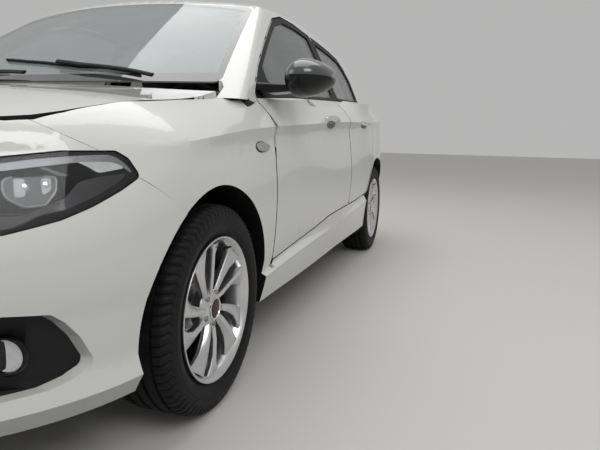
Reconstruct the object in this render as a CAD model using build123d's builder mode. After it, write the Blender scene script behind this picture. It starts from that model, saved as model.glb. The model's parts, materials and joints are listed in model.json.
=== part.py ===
from build123d import *
import math
import os

# Five-door hatchback car, millimetres. X is the car's left, the nose points to -Y, Z is up,
# and the origin lies on the road in the middle of the car's box.

# Overall sizes
LENGTH = 4368.0
BODY_WIDTH = 1792.0
HEIGHT = 1495.0
WHEELBASE = 2638.0
FRONT_OVERHANG = 917.0
TRACK = 1542.0
NOSE_Y = -LENGTH / 2
TAIL_Y = LENGTH / 2
FRONT_AXLE_Y = NOSE_Y + FRONT_OVERHANG
REAR_AXLE_Y = FRONT_AXLE_Y + WHEELBASE

# Wheels and tyres
TYRE_R = 316.0
TYRE_WIDTH = 208.0
RIM_R = 203.0
RIM_LIP_R = 221.0
RIM_WIDTH = 196.0
SPOKE_PAIRS = 5
CAP_R = 34.0
HUB_DEPTH = 54.0
DISC_R = 142.0
DISC_THICKNESS = 22.0
DISC_BACK = 38.0
WHEEL_Z = TYRE_R
WHEEL_X = TRACK / 2
ARCH_R = 374.0
LINER_THICKNESS = 5.0
LINER_GAP = 0.8
LINER_INNER_X = 496.0
KINGPIN_X = 716.0

# Body skin
SIDE_CURVE_R = 78000.0
WIDEST_Y = 200.0
FRONT_CORNER_R = 720.0
FRONT_CORNER_X = 156.0
FRONT_PLAN_R = 2000.0
REAR_CORNER_R = 680.0
REAR_CORNER_X = 205.0
REAR_PLAN_R = 2600.0
NOSE_PROUD = 27.0
TAIL_PROUD = 0.0
DOOR_DEPTH = 75.0
PANEL_DEPTH = 30.0
REAR_BUMPER_DEPTH = 40.0
THIN_WALL = 41.0
SHUT_GAP = 7.0
DOOR_GAP = 7.0
SEAM = 0.3
FLOOR_Z = 236.0
FLOOR_THICKNESS = 14.0
FLOOR_TOP_Z = FLOOR_Z + FLOOR_THICKNESS / 2 + SEAM
POST_FRONT_Y = 404.0
POST_REAR_Y = 500.0
POST_GAP = 6.0
POST_SWING = 20.0
JACK_PAD_X = 700.0
JACK_PAD_Z = 215.0
JACK_PAD_YS = [-640.0, 600.0]
LOFT_GAP = 0.8
GLASS = 5.0
GLASS_INSET = 7.0
ROOF_DEPTH = 42.0

# Glasshouse
GLASS_LEAN = 0.46
GLASS_FOOT_Z = 960.0
GLASS_FOOT_X = 815.0
REBATE_DEPTH = 12.0
REBATE_WIDTH = 13.0
ROOF_PEAK_Y = 420.0
ROOF_R = 5850.0
ROOF_CROSS_R = 4400.0
SCREEN_FOOT_Y = -1120.0
SCREEN_FOOT_Z = 985.0
SCREEN_HEAD_Y = -375.0
SCREEN_PLAN_R = 1750.0
ROOF_END_Y = 1600.0
TAIL_GLASS_FOOT_Y = 1975.0
TAIL_GLASS_FOOT_Z = 1062.0
TAIL_GLASS_PLAN_R = 2900.0
RAIL_ROUND = 52.0
RAIL_X = 548.0
DOOR_TOP_X = RAIL_X + 6.0

# Shut lines
DOOR_FRONT_Y = -812.0
DOOR_SPLIT_Y = 460.0
DOOR_REAR_Y = 1178.0
TAILGATE_FRONT_Y = 1440.0
BONNET_DEPTH = 32.0
BONNET_TILT = 14.0

FRONT_CENTRE_Y = NOSE_Y + NOSE_PROUD + FRONT_PLAN_R
FRONT_CORNER_Y = FRONT_CENTRE_Y - math.sqrt((FRONT_PLAN_R - FRONT_CORNER_R) ** 2 - FRONT_CORNER_X ** 2)
REAR_CENTRE_Y = TAIL_Y - TAIL_PROUD - REAR_PLAN_R
REAR_CORNER_Y = REAR_CENTRE_Y + math.sqrt((REAR_PLAN_R - REAR_CORNER_R) ** 2 - REAR_CORNER_X ** 2)

# Side wall of the body, one row a station from the nose round to the tail.
# kind: how the station is placed, place: degrees round its corner or a Y
# then (inset, height) at: sill edge, ridge, groove, waist, swell, hollow, crease, shoulder, top
STATIONS = [
    ("nose", -7, (22, 200), (-4, 250), (6, 300), (-8, 430), (-18, 530),
     (-8, 640), (36, 772), (78, 805), (118, 822)),
    ("nose", 0, (20, 200), (-8, 250), (4, 300), (-14, 430), (-27, 520),
     (-18, 640), (22, 765), (70, 798), (110, 815)),
    ("nose", 7, (22, 200), (-4, 250), (6, 300), (-8, 430), (-18, 530),
     (-8, 640), (36, 772), (78, 805), (118, 822)),
    ("front", 27, (35, 200), (0, 250), (12, 302), (8, 440), (2, 560),
     (12, 640), (66, 784), (102, 836), (140, 850)),
    ("front", 48, (38, 200), (0, 252), (12, 305), (6, 440), (0, 570),
     (20, 650), (76, 792), (112, 858), (150, 876)),
    ("front", 69, (36, 206), (0, 260), (10, 312), (4, 440), (-1, 590),
     (18, 700), (50, 800), (124, 888), (160, 906)),
    ("side", -1425, (36, 215), (8, 270), (14, 318), (6, 440), (0, 610),
     (16, 770), (22, 815), (138, 917), (176, 936)),
    ("side", -1150, (34, 225), (10, 300), (22, 314), (12, 400), (0, 620),
     (24, 800), (18, 843), (140, 943), (180, 958)),
    ("side", -840, (32, 232), (10, 332), (30, 344), (16, 392), (0, 630),
     (20, 826), (12, 867), (50, 925), (82, 967)),
    ("side", -200, (30, 232), (10, 361), (30, 373), (16, 420), (0, 640),
     (20, 857), (9, 898), (50, 962), (86, 1013)),
    ("side", 600, (30, 232), (10, 390), (30, 402), (16, 445), (0, 650),
     (20, 887), (9, 928), (52, 996), (92, 1052)),
    ("side", 1250, (30, 232), (10, 415), (26, 427), (12, 470), (0, 650),
     (16, 906), (10, 947), (58, 1014), (108, 1070)),
    ("rear", 95, (30, 236), (8, 390), (16, 410), (6, 475), (0, 640),
     (18, 908), (16, 954), (70, 1022), (128, 1078)),
    ("rear", 120, (34, 240), (6, 330), (12, 350), (4, 450), (0, 600),
     (22, 885), (32, 957), (90, 1024), (150, 1080)),
    ("rear", 148, (36, 240), (4, 320), (10, 340), (2, 450), (0, 580),
     (32, 865), (48, 955), (96, 1020), (150, 1076)),
    ("tail", 175, (34, 240), (2, 320), (8, 340), (0, 450), (0, 570),
     (40, 850), (62, 950), (96, 1014), (135, 1070)),
    ("tail", 180, (34, 240), (2, 320), (8, 340), (0, 450), (0, 570),
     (40, 850), (62, 950), (96, 1014), (135, 1070)),
    ("tail", 185, (34, 240), (2, 320), (8, 340), (0, 450), (0, 570),
     (40, 850), (62, 950), (96, 1014), (135, 1070)),
]


def side_x(y):
    """Half width of the body in plan at a place along it."""
    return BODY_WIDTH / 2 - 3.0 - (y - WIDEST_Y) ** 2 / (2 * SIDE_CURVE_R)


def station(kind, place):
    """Point on the plan outline and the outward direction there."""
    if kind == "side":
        return Vector(side_x(place), place, 0), Vector(1, 0, 0)
    turn = math.radians(place)
    out = Vector(math.sin(turn), -math.cos(turn), 0)
    if kind == "front":
        return Vector(FRONT_CORNER_X, FRONT_CORNER_Y, 0) + out * FRONT_CORNER_R, out
    if kind == "rear":
        return Vector(REAR_CORNER_X, REAR_CORNER_Y, 0) + out * REAR_CORNER_R, out
    if kind == "nose":
        return Vector(0, FRONT_CENTRE_Y, 0) + out * FRONT_PLAN_R, out
    return Vector(0, REAR_CENTRE_Y, 0) + out * REAR_PLAN_R, out


def swelled(a, b, swell):
    """Middle point of a shallow arc from a to b that stands out by swell."""
    run = b[0] - a[0]
    rise = b[1] - a[1]
    span = math.hypot(run, rise)
    return ((a[0] + b[0] + 2 * swell * rise / span) / 2, (a[1] + b[1] - 2 * swell * run / span) / 2)


FRONT_ROWS = STATIONS[:10]
REAR_ROWS = STATIONS[9:]


def wall_line(nodes):
    """Edges up the wall through the nine nodes of a section. Call it inside a line builder."""
    sill, ridge, groove, waist, swell, hollow, crease, shoulder, top = nodes
    Polyline(sill, ridge, groove, waist)
    ThreePointArc(waist, swelled(waist, swell, 4), swell)
    ThreePointArc(swell, swelled(swell, hollow, 3), hollow)
    Line(hollow, crease)
    ThreePointArc(crease, shoulder, top)


def layer(outer, inner, rows):
    """Left half of the body wall between two depths under the skin."""
    depth = inner - outer
    with BuildPart() as wall:
        for kind, place, *nodes in rows:
            foot, out = station(kind, place)
            face = [(-inset - outer, height) for inset, height in nodes]
            sill, crease, top = face[0], face[6], face[8]
            with BuildSketch(Plane(origin=foot, x_dir=out, z_dir=out.cross(Vector(0, 0, 1)))):
                with BuildLine():
                    wall_line(face)
                    if depth < THIN_WALL:
                        wall_line([(x - depth, z) for x, z in face])
                        Line(sill, (sill[0] - depth, sill[1]))
                        Line(top, (top[0] - depth, top[1]))
                    else:
                        under_top = (top[0] - depth * 0.8, top[1] - depth * 0.25)
                        in_crease = (crease[0] - depth, crease[1])
                        in_sill = (sill[0] - depth, sill[1])
                        Polyline(top, under_top, in_crease, in_sill, sill)
                make_face()
        loft()
        split(bisect_by=Plane.YZ, keep=Keep.TOP)
    return wall.part


def roof_z(x, y):
    """Height of the roof skin, an arc along the car and an arc across it."""
    along = ROOF_R - math.sqrt(ROOF_R ** 2 - (y - ROOF_PEAK_Y) ** 2)
    across = ROOF_CROSS_R - math.sqrt(ROOF_CROSS_R ** 2 - x ** 2)
    return HEIGHT - along - across


def sweep_back(x, radius):
    """How far an edge curved in plan runs back at x from the middle."""
    return radius - math.sqrt(radius ** 2 - x ** 2)


def top_profile(inset):
    """Screen, roof and rear glass as one solid, crowned across."""
    foot_z = GLASS_FOOT_Z - 90.0
    with BuildPart() as profile:
        for x in (-900.0, -450.0, 0.0, 450.0, 900.0):
            front = sweep_back(x, SCREEN_PLAN_R)
            back = sweep_back(x, TAIL_GLASS_PLAN_R)
            head_y = SCREEN_HEAD_Y + front * 0.55
            head = (head_y + inset * 0.3, roof_z(x, head_y) - inset)
            slope = (SCREEN_HEAD_Y - SCREEN_FOOT_Y) / (roof_z(0, SCREEN_HEAD_Y) - SCREEN_FOOT_Z)
            foot = (SCREEN_FOOT_Y + front - slope * (SCREEN_FOOT_Z - foot_z) + inset * 1.5, foot_z)
            end_y = ROOF_END_Y - back
            end = (end_y - inset * 0.3, roof_z(x, end_y) - inset)
            fall = (TAIL_GLASS_FOOT_Y - ROOF_END_Y) / (roof_z(0, ROOF_END_Y) - TAIL_GLASS_FOOT_Z)
            rear = (TAIL_GLASS_FOOT_Y - back + fall * (TAIL_GLASS_FOOT_Z - foot_z) - inset * 1.5, foot_z)
            mid_y = (head[0] + end[0]) / 2
            with BuildSketch(Plane.YZ.offset(x)):
                with BuildLine():
                    ThreePointArc(foot, swelled(foot, head, -16), head)
                    ThreePointArc(head, (mid_y, roof_z(x, mid_y) - inset), end)
                    ThreePointArc(end, swelled(end, rear, -10), rear)
                    Line(rear, foot)
                make_face()
        loft()
    return profile.part


# Plan of the side glass, one row a section: place along the car, half width at the glass foot
GLASS_PLAN = [(-1420, 772), (-843, 808), (200, 815), (1178, 806), (2150, 700)]


def side_slab(inset):
    """The space between the two leaning side windows."""
    foot_z = GLASS_FOOT_Z - 90.0
    top_z = HEIGHT + 60.0
    with BuildPart() as slab:
        for y, foot_x in GLASS_PLAN:
            low = foot_x + GLASS_LEAN * (GLASS_FOOT_Z - foot_z) - inset
            high = foot_x - GLASS_LEAN * (top_z - GLASS_FOOT_Z) - inset
            with BuildSketch(Plane.XZ.offset(-y)):
                with BuildLine():
                    Line((-low, foot_z), (low, foot_z))
                    ThreePointArc((low, foot_z), swelled((low, foot_z), (high, top_z), 9), (high, top_z))
                    Line((high, top_z), (-high, top_z))
                    ThreePointArc((-high, top_z), swelled((-high, top_z), (-low, foot_z), 9), (-low, foot_z))
                make_face()
        loft()
    return slab.part


def glasshouse(inset, rounding):
    """Outer form of the glasshouse, drawn in by an inset."""
    with BuildPart() as house:
        add(top_profile(inset))
        add(side_slab(inset), mode=Mode.INTERSECT)
        long_edges = [e for e in house.edges() if e.length > 600 and e.center().Z > 1000]
        fillet([e for e in long_edges if abs(e.center().X) > 450], radius=rounding)
    return house.part


def side_prism(points, corner, near, far, grow=0.0):
    """Prism across the car over an outline in the side view."""
    with BuildPart() as prism:
        with BuildSketch(Plane.YZ.offset(near)):
            with BuildLine():
                FilletPolyline(*points, radius=corner, close=True)
            make_face()
            if grow:
                offset(amount=grow)
        extrude(amount=far - near)
    return prism.part


def end_prism(points, corner, near, far, grow=0.0):
    """Prism along the car over an outline in the end view."""
    with BuildPart() as prism:
        with BuildSketch(Plane.XZ.offset(-near)):
            with BuildLine():
                FilletPolyline(*points, radius=corner, close=True)
            make_face()
            if grow:
                offset(amount=grow)
        extrude(amount=near - far)
    return prism.part


def plan_prism(points, corner, low, high, grow=0.0, lean=0.0):
    """Upright prism over an outline in plan, leaning forward by a few degrees if asked."""
    with BuildPart() as prism:
        with BuildSketch(Plane.XY.offset(low)):
            with BuildLine():
                FilletPolyline(*points, radius=corner, close=True)
            make_face()
            if grow:
                offset(amount=grow)
        turn = math.radians(lean)
        extrude(amount=(high - low) / math.cos(turn), dir=(0, -math.sin(turn), math.cos(turn)))
    return prism.part


def axle_drum(axle_y, radius, near, far):
    """Cylinder about a wheel's axis."""
    with BuildPart() as drum:
        with BuildSketch(Plane.YZ.offset(near)):
            with Locations((axle_y, WHEEL_Z)):
                Circle(radius)
        extrude(amount=far - near)
    return drum.part


def common(*solids):
    """What all the solids share."""
    with BuildPart() as shared:
        add(solids[0])
        for solid in solids[1:]:
            add(solid, mode=Mode.INTERSECT)
    return shared.part


def less(body, *cutters):
    """A solid with others cut away."""
    with BuildPart() as cut:
        add(body)
        add(list(cutters), mode=Mode.SUBTRACT)
    return cut.part


def joined(*solids):
    """Solids fused into one."""
    with BuildPart() as whole:
        add(list(solids))
    return whole.part


def other_side(solid):
    """The same piece on the other side of the car."""
    return mirror(solid, about=Plane.YZ, mode=Mode.PRIVATE)


def both_sides(solid):
    """A half and its mirror image as one piece."""
    return joined(solid, other_side(solid))


def save(solid, name):
    """Label a finished piece and write it out."""
    solid.label = name
    export_step(solid, "parts/" + name + ".step")


os.makedirs("parts", exist_ok=True)

# Outlines in the side view, (Y, Z)
SILL_STEP_Z = 366.0
FRONT_DOOR_LOW = [
    (DOOR_FRONT_Y, 372), (DOOR_FRONT_Y - 4, 600), (DOOR_FRONT_Y, 740), (DOOR_FRONT_Y + 24, 868),
    (DOOR_FRONT_Y - 22, 952), (DOOR_FRONT_Y - 30, 985),
]
FRONT_DOOR = FRONT_DOOR_LOW + [
    (-700, 1096), (-530, 1200), (-364, 1293), (-224, 1366), (-60, 1407), (150, 1413),
    (DOOR_SPLIT_Y - 34, 1397), (DOOR_SPLIT_Y, 1050), (DOOR_SPLIT_Y, 446), (8, 438), (-505, 396),
]
FRONT_WINDOW = [
    (-655, 1040), (-655, 1100), (-520, 1180), (-360, 1270), (-222, 1340), (-58, 1381), (150, 1388),
    (DOOR_SPLIT_Y - 104, 1378), (DOOR_SPLIT_Y - 70, 1056), (-234, 1020),
]
REAR_DOOR = [
    (DOOR_SPLIT_Y + DOOR_GAP, 446), (DOOR_SPLIT_Y + DOOR_GAP, 1050), (DOOR_SPLIT_Y + DOOR_GAP - 34, 1397),
    (620, 1388), (840, 1374),
    (1030, 1350), (1120, 1303), (1190, 1225), (DOOR_REAR_Y, 1070), (DOOR_REAR_Y - 28, 800),
    (DOOR_REAR_Y - 66, 620), (DOOR_REAR_Y - 150, 520), (DOOR_REAR_Y - 172, 464), (825, 458),
]
REAR_WINDOW = [
    (DOOR_SPLIT_Y + 48, 1062), (DOOR_SPLIT_Y + 16, 1370), (620, 1362), (830, 1349), (1010, 1326),
    (1090, 1284), (1150, 1215), (1132, 1082),
]
HEADLAMP = [
    (-2230, 762), (-2075, 764), (-1839, 779), (-1750, 791), (-1650, 791), (-1628, 775), (-1612, 736),
    (-1664, 709), (-1735, 677), (-1794, 655), (-1884, 633), (-2075, 640), (-2230, 650),
]
FOG_POCKET = [
    (-2040, 310), (-1903, 288), (-1830, 292), (-1784, 304), (-1750, 322), (-1748, 340), (-1774, 395),
    (-1801, 434), (-1827, 458), (-1899, 469), (-2040, 452),
]
TAIL_LAMP = [(1795, 905), (1860, 790), (1960, 725), (2300, 700), (2300, 948), (1960, 948)]

skin = layer(0, DOOR_DEPTH, STATIONS)
panel_skin = layer(0, PANEL_DEPTH, FRONT_ROWS)
house_outer = glasshouse(0, RAIL_ROUND)
house_inner = glasshouse(ROOF_DEPTH, RAIL_ROUND / 3)
house_shell = less(house_outer, house_inner)
glass_skin = less(glasshouse(GLASS_INSET, RAIL_ROUND), glasshouse(GLASS_INSET + GLASS, RAIL_ROUND))
with BuildPart() as left_space:
    with Locations((500, 0, 800)):
        Box(1000, 5000, 1800)
half_shell = common(house_shell, left_space.part)
LINER_REAR_X = 560.0
front_arch = axle_drum(FRONT_AXLE_Y, ARCH_R, LINER_INNER_X, 1000)
rear_arch = axle_drum(REAR_AXLE_Y, ARCH_R, LINER_REAR_X, 1000)


# The screen and its opening
def screen_prism(grow):
    """Prism over the windscreen's outline in plan."""
    with BuildPart() as prism:
        with BuildSketch(Plane.XY.offset(GLASS_FOOT_Z + 20)) as outline:
            with BuildLine():
                ThreePointArc((-716, -938), (0, SCREEN_FOOT_Y + 16), (716, -938))
                Line((716, -938), (592, -345))
                ThreePointArc((592, -345), (0, SCREEN_HEAD_Y - 42), (-592, -345))
                Line((-592, -345), (-716, -938))
            make_face()
            fillet(outline.vertices(), radius=40)
            offset(amount=grow)
        extrude(amount=HEIGHT - GLASS_FOOT_Z)
    return prism.part


windscreen = common(less(house_outer, glasshouse(GLASS, RAIL_ROUND)), screen_prism(-SEAM))
save(windscreen, "windscreen")

# Bonnet sections, one row each: place along the car, middle height, drop at the crease and at the edge
BONNET_SECTIONS = [
    (-2130, 776, 8, 32), (-2040, 822, 10, 36), (-1950, 856, 12, 44), (-1830, 892, 14, 56),
    (-1640, 935, 14, 56), (-1400, 972, 14, 56), (-1150, 997, 12, 52), (-1000, 1010, 10, 30),
    (-900, 1018, 8, 20),
]
BONNET_CREASE_X = 430.0
BONNET_EDGE_X = 770.0
BONNET_SIDE = [
    (742, -1015), (740, -1103), (731, -1240), (729, -1449), (713, -1591), (691, -1701), (669, -1770),
    (638, -1813), (558, -1887), (438, -1979), (240, -2066),
]


def bonnet_slab(drop, depth):
    """Crowned slab under the bonnet skin, long enough for the scuttle too."""
    with BuildPart() as slab:
        for y, middle, crease_drop, edge_drop in BONNET_SECTIONS:
            top = middle - drop
            crease = (BONNET_CREASE_X, top - crease_drop)
            edge = (BONNET_EDGE_X, top - edge_drop)
            with BuildSketch(Plane.XZ.offset(-y)):
                with BuildLine():
                    ThreePointArc((-crease[0], crease[1]), (0, top), crease)
                    ThreePointArc(crease, swelled(crease, edge, -5), edge)
                    low_z = edge[1] - depth
                    Polyline(edge, (edge[0], low_z), (-edge[0], low_z), (-edge[0], edge[1]))
                    far_edge = (-edge[0], edge[1])
                    far_crease = (-crease[0], crease[1])
                    ThreePointArc(far_edge, swelled(far_edge, far_crease, -5), far_crease)
                make_face()
        loft()
    return slab.part


def bonnet_prism(grow):
    """Prism over the bonnet's outline in plan, leaning forward so that its rim lifts clear."""
    rear_bow = 175.0
    left = [(x, y) for x, y in BONNET_SIDE]
    right = [(-x, y) for x, y in reversed(BONNET_SIDE)]
    lean = math.tan(math.radians(BONNET_TILT))
    base_z = 600.0
    rise = 1150.0 - base_z
    shift = lean * 300.0
    with BuildPart() as prism:
        with BuildSketch(Plane(origin=(0, shift, base_z), x_dir=(1, 0, 0), z_dir=(0, 0, 1))):
            with BuildLine():
                ThreePointArc(right[-1], (0, BONNET_SIDE[0][1] - rear_bow), left[0])
                Polyline(*left)
                ThreePointArc(left[-1], (0, NOSE_Y + 94), right[0])
                Polyline(*right)
            make_face()
            offset(amount=grow)
        extrude(amount=rise * math.hypot(1, lean), dir=(0, -lean, 1))
    return prism.part


bonnet = common(bonnet_slab(0, BONNET_DEPTH), bonnet_prism(0))
save(bonnet, "bonnet")
bonnet_hole = bonnet_prism(SHUT_GAP)

# Scuttle between the bonnet and the screen
SCUTTLE = [
    (715, -930), (600, -985), (300, -1070), (0, -1098), (-300, -1070), (-600, -985), (-715, -930),
    (-736, -960), (-736, -1060), (-400, -1190), (0, -1235), (400, -1190), (736, -1060), (736, -960),
]
scuttle = less(common(bonnet_slab(12, 38), plan_prism(SCUTTLE, 12, 880, 1100)), bonnet_hole)
save(scuttle, "scuttle")

# Openings in the body
front_door_hole = side_prism(FRONT_DOOR, 22, 300, 1000, SHUT_GAP)
rear_door_hole = side_prism(REAR_DOOR, 22, 300, 1000, SHUT_GAP)
lamp_hole = side_prism(HEADLAMP, 12, 440, 1000, SHUT_GAP / 2)


# Doors
def door_rebate(outline):
    """What is cut from the inner rim of a door beside the glass, so that it swings clear of its opening."""
    slope = math.hypot(1, GLASS_LEAN)
    leaning = Plane(origin=(GLASS_FOOT_X, 0, GLASS_FOOT_Z), x_dir=(0, 1, 0),
                    z_dir=(1 / slope, 0, GLASS_LEAN / slope))
    with BuildPart() as rebate:
        with BuildSketch(leaning.offset(-REBATE_DEPTH)):
            with Locations((200, 260)):
                Rectangle(2600, 560)
            with BuildSketch(mode=Mode.SUBTRACT):
                with BuildLine():
                    leaning_outline = [(y, (z - GLASS_FOOT_Z) * slope) for y, z in outline]
                    FilletPolyline(*leaning_outline, radius=22, close=True)
                make_face()
                offset(amount=-REBATE_WIDTH)
        extrude(amount=-90)
    return rebate.part


def door_shell(outline, window):
    """Door with its window frame, as thick as the body wall."""
    space = side_prism(outline, 22, DOOR_TOP_X, 1000)
    whole = joined(common(skin, space), common(half_shell, space))
    return less(whole, side_prism(window, 26, 300, 1000), door_rebate(outline))


def door_glass(window):
    """Pane that fills a door's window."""
    return common(glass_skin, side_prism(window, 26, 300, 1000, -SEAM))


B_POST = [
    (752, FLOOR_TOP_Z), (800, FLOOR_TOP_Z), (800, 424), (781, 442), (786, 850), (786, 884), (724, 1014),
    (572, 1370), (572, 1432), (560, 1432), (534, 1365), (690, 1000), (756, 860),
]
post_space = end_prism(B_POST, 4, POST_FRONT_Y - POST_SWING, POST_REAR_Y + POST_GAP, POST_GAP)
wheel_space = axle_drum(REAR_AXLE_Y, ARCH_R + 30, 560, 1000)
front_door = less(door_shell(FRONT_DOOR, FRONT_WINDOW), post_space)
rear_door = less(door_shell(REAR_DOOR, REAR_WINDOW), wheel_space, post_space)
front_glass = door_glass(FRONT_WINDOW)
rear_glass = door_glass(REAR_WINDOW)

# Tailgate outline in the end view, (X, Z), and the pieces beside it
TAILGATE_HALF = [(470, 575), (528, 650), (545, 860), (604, 975), (600, 1110), (566, 1330), (548, 1500)]
TAILGATE = [(-40, 575)] + TAILGATE_HALF + [(-40, 1500)]
TAIL_WINDOW_HALF = [(548, 1100), (505, 1335)]
TAIL_WINDOW = [(-x, z) for x, z in TAIL_WINDOW_HALF] + [(x, z) for x, z in reversed(TAIL_WINDOW_HALF)]
gate_space = end_prism(TAILGATE, 30, TAILGATE_FRONT_Y, 2300)
gate_hole = end_prism(TAILGATE, 30, TAILGATE_FRONT_Y - SHUT_GAP, 2300, SHUT_GAP)
gate_window = end_prism(TAIL_WINDOW, 40, 1560, 2300)
tailgate = both_sides(less(joined(common(skin, gate_space), common(half_shell, gate_space)), gate_window))
tail_glass = common(glass_skin, end_prism(TAIL_WINDOW, 40, 1560, 2300, -SEAM))
save(tailgate, "tailgate")
save(tail_glass, "tailgate_glass")

# Roof between the side frames
ROOF_REAR_Y = TAILGATE_FRONT_Y - SHUT_GAP
ROOF_AREA = [(-RAIL_X, -600), (-RAIL_X, ROOF_REAR_Y), (RAIL_X, ROOF_REAR_Y), (RAIL_X, -600)]
roof_area = plan_prism(ROOF_AREA, 2, 1200, 1600)
roof = less(common(house_shell, roof_area), screen_prism(0))
save(roof, "roof_panel")

# Side frame: sill, pillars, roof rail and rear quarter
SILL_AREA = [
    (-1000, 150), (-1000, SILL_STEP_Z - 26), (-790, SILL_STEP_Z - 26), (-790, 1200), (2300, 1200),
    (2300, 150),
]
PILLAR_AREA = [(-1060, 956), (-790, 956), (-790, 860), (2300, 860), (2300, 1600), (-1060, 1600)]
REAR_BUMPER_AREA = [(1500, 150), (1500, 640), (1810, 664), (1960, 650), (2400, 650), (2400, 150)]
sill_area = side_prism(SILL_AREA, 2, 0, 1000)
pillar_area = side_prism(PILLAR_AREA, 2, RAIL_X, 1000)
tail_lamp_space = side_prism(TAIL_LAMP, 18, 549, 1000)
rear_bumper_area = side_prism(REAR_BUMPER_AREA, 8, -10, 1000)
a_post = plan_prism([(772, -930), (812, -930), (812, -826), (772, -826)], 4, 240, 962)
b_post = end_prism(B_POST, 4, POST_FRONT_Y, POST_REAR_Y)
HINGE_HEIGHTS = [470.0, 720.0]
HINGE_LEAF_X = 838.0
HINGE_LEAF_TALL = 60.0
with BuildPart() as rear_leaves:
    for leaf_z in HINGE_HEIGHTS:
        with Locations((HINGE_LEAF_X - 25, DOOR_SPLIT_Y + DOOR_GAP - SEAM - 0.85, leaf_z + 40)):
            Box(70, 1.7, HINGE_LEAF_TALL)
side_frame = joined(common(skin, sill_area), common(half_shell, pillar_area), a_post)
scuttle_seat = plan_prism(SCUTTLE, 12, 860, 1100, SEAM)
tail_lamp_seat = side_prism(TAIL_LAMP, 18, 549, 1000, SEAM)
side_frame = less(side_frame, front_door_hole, rear_door_hole, front_arch, rear_arch, screen_prism(0),
                  gate_hole, bonnet_hole, scuttle_seat, tail_lamp_seat, rear_bumper_area)
side_frame = joined(side_frame, b_post, rear_leaves.part)

# Front wing
WING_AREA = [
    (-1440, 612), (-1502, 658), (-1557, 697), (-1612, 732), (-1686, 797), (-1737, 831), (-1782, 868),
    (-1800, 955), (-817, 955), (-817, SILL_STEP_Z - 26 + SEAM), (-960, SILL_STEP_Z - 26 + SEAM),
]
WING_INSIDE = [(580, -1130), (690, -1060), (722, -1000), (745, -930), (768, -850), (768, -790), (580, -790)]
wing_area = side_prism(WING_AREA, 2, 300, 1000)
wing_inside = plan_prism(WING_INSIDE, 4, 870, 1000)
wing = less(common(skin, wing_area), front_door_hole, bonnet_hole, front_arch, lamp_hole, a_post,
            wing_inside, scuttle_seat)
with BuildPart() as front_leaves:
    for leaf_z in HINGE_HEIGHTS:
        with Locations((HINGE_LEAF_X, DOOR_FRONT_Y - 8, leaf_z)):
            Box(20, 20, HINGE_LEAF_TALL)
front_leaves = less(front_leaves.part, side_prism(FRONT_DOOR, 22, 300, 1000, SEAM))
wing = joined(wing, front_leaves)

SIDE_PIECES = [
    ("side_frame", side_frame), ("front_wing", wing), ("front_door", front_door), ("rear_door", rear_door),
    ("front_door_glass", front_glass), ("rear_door_glass", rear_glass),
]
for name, piece in SIDE_PIECES:
    save(piece, name + "_left")
    save(other_side(piece), name + "_right")

# Front bumper with its openings
BUMPER_AREA = [
    (-2400, 150), (-1500, 150), (-1440, 611), (-1502, 657), (-1557, 696), (-1612, 731), (-1686, 796),
    (-1737, 830), (-1782, 867), (-2400, 867),
]
bumper_area = side_prism(BUMPER_AREA, 2, -10, 1000)
fog_hole = side_prism(FOG_POCKET, 16, 560, 1000)
UPPER_GRILLE = [(0, 668), (395, 676), (400, 742), (0, 742)]
LOWER_GRILLE = [(0, 262), (400, 262), (470, 300), (440, 440), (0, 455)]
GRILLE_HALVES = [UPPER_GRILLE, LOWER_GRILLE]
grille_holes = []
for outline in GRILLE_HALVES:
    crossing = [(-20, outline[0][1])] + outline[1:-1] + [(-20, outline[-1][1])]
    grille_holes.append(end_prism(crossing, 14, -2400, -1800))
bumper_wall = common(panel_skin, bumper_area)
half_bumper = less(bumper_wall, bonnet_hole, lamp_hole, front_arch, fog_hole, *grille_holes)
front_bumper = both_sides(half_bumper)
save(front_bumper, "front_bumper")

# Rear bumper
half_rear = less(common(layer(0, REAR_BUMPER_DEPTH, REAR_ROWS), rear_bumper_area), rear_arch, gate_hole)
rear_bumper = both_sides(half_rear)
save(rear_bumper, "rear_bumper")

# Lamps
lens = common(layer(0, GLASS, FRONT_ROWS), side_prism(HEADLAMP, 12, 443, 1000))
LAMP_FACING = Vector(0.64, -0.768, 0)
with BuildPart() as lamp_recess:
    recess_plane = Plane(origin=(640, -1815, 715), x_dir=(0.768, 0.64, 0), z_dir=LAMP_FACING)
    with BuildSketch(recess_plane):
        with BuildLine():
            FilletPolyline((-190, -52), (40, -50), (150, -5), (185, 20), (150, 52), (-190, 40), radius=10,
                           close=True)
        make_face()
    extrude(amount=300)
lamp_seat = side_prism(HEADLAMP, 12, 443, 1000, SHUT_GAP / 2 - SEAM)
bowl = less(common(layer(GLASS + LOFT_GAP, DOOR_DEPTH, FRONT_ROWS), lamp_seat), lamp_recess.part)
save(both_sides(lens), "headlamp_lenses")
save(both_sides(bowl), "headlamp_housings")
tail_lamp = common(less(skin, gate_hole), tail_lamp_space)
save(both_sides(tail_lamp), "tail_lamps")

# Fog lamp pods: a dark dish behind each pocket with a round lamp in it
with BuildPart() as pod_recess:
    with BuildSketch(Plane(origin=(668, -1862, 378), x_dir=(0.83, 0.56, 0), z_dir=(0.56, -0.83, 0))):
        with BuildLine():
            FilletPolyline((-160, -62), (60, -88), (118, -60), (80, 30), (30, 84), (-160, 70), radius=16,
                           close=True)
        make_face()
    extrude(amount=300)
pod_wall = layer(PANEL_DEPTH + LOFT_GAP, 110, FRONT_ROWS)
pod = less(common(pod_wall, side_prism(FOG_POCKET, 16, 548, 1000, 10)), pod_recess.part)
with BuildPart() as fog_barrel:
    with BuildSketch(Plane(origin=(640, -1860, 374), x_dir=(0.83, 0.56, 0), z_dir=(0.56, -0.83, 0))):
        Circle(46)
    extrude(amount=34)
save(both_sides(joined(pod, fog_barrel.part)), "fog_lamps")


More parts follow.
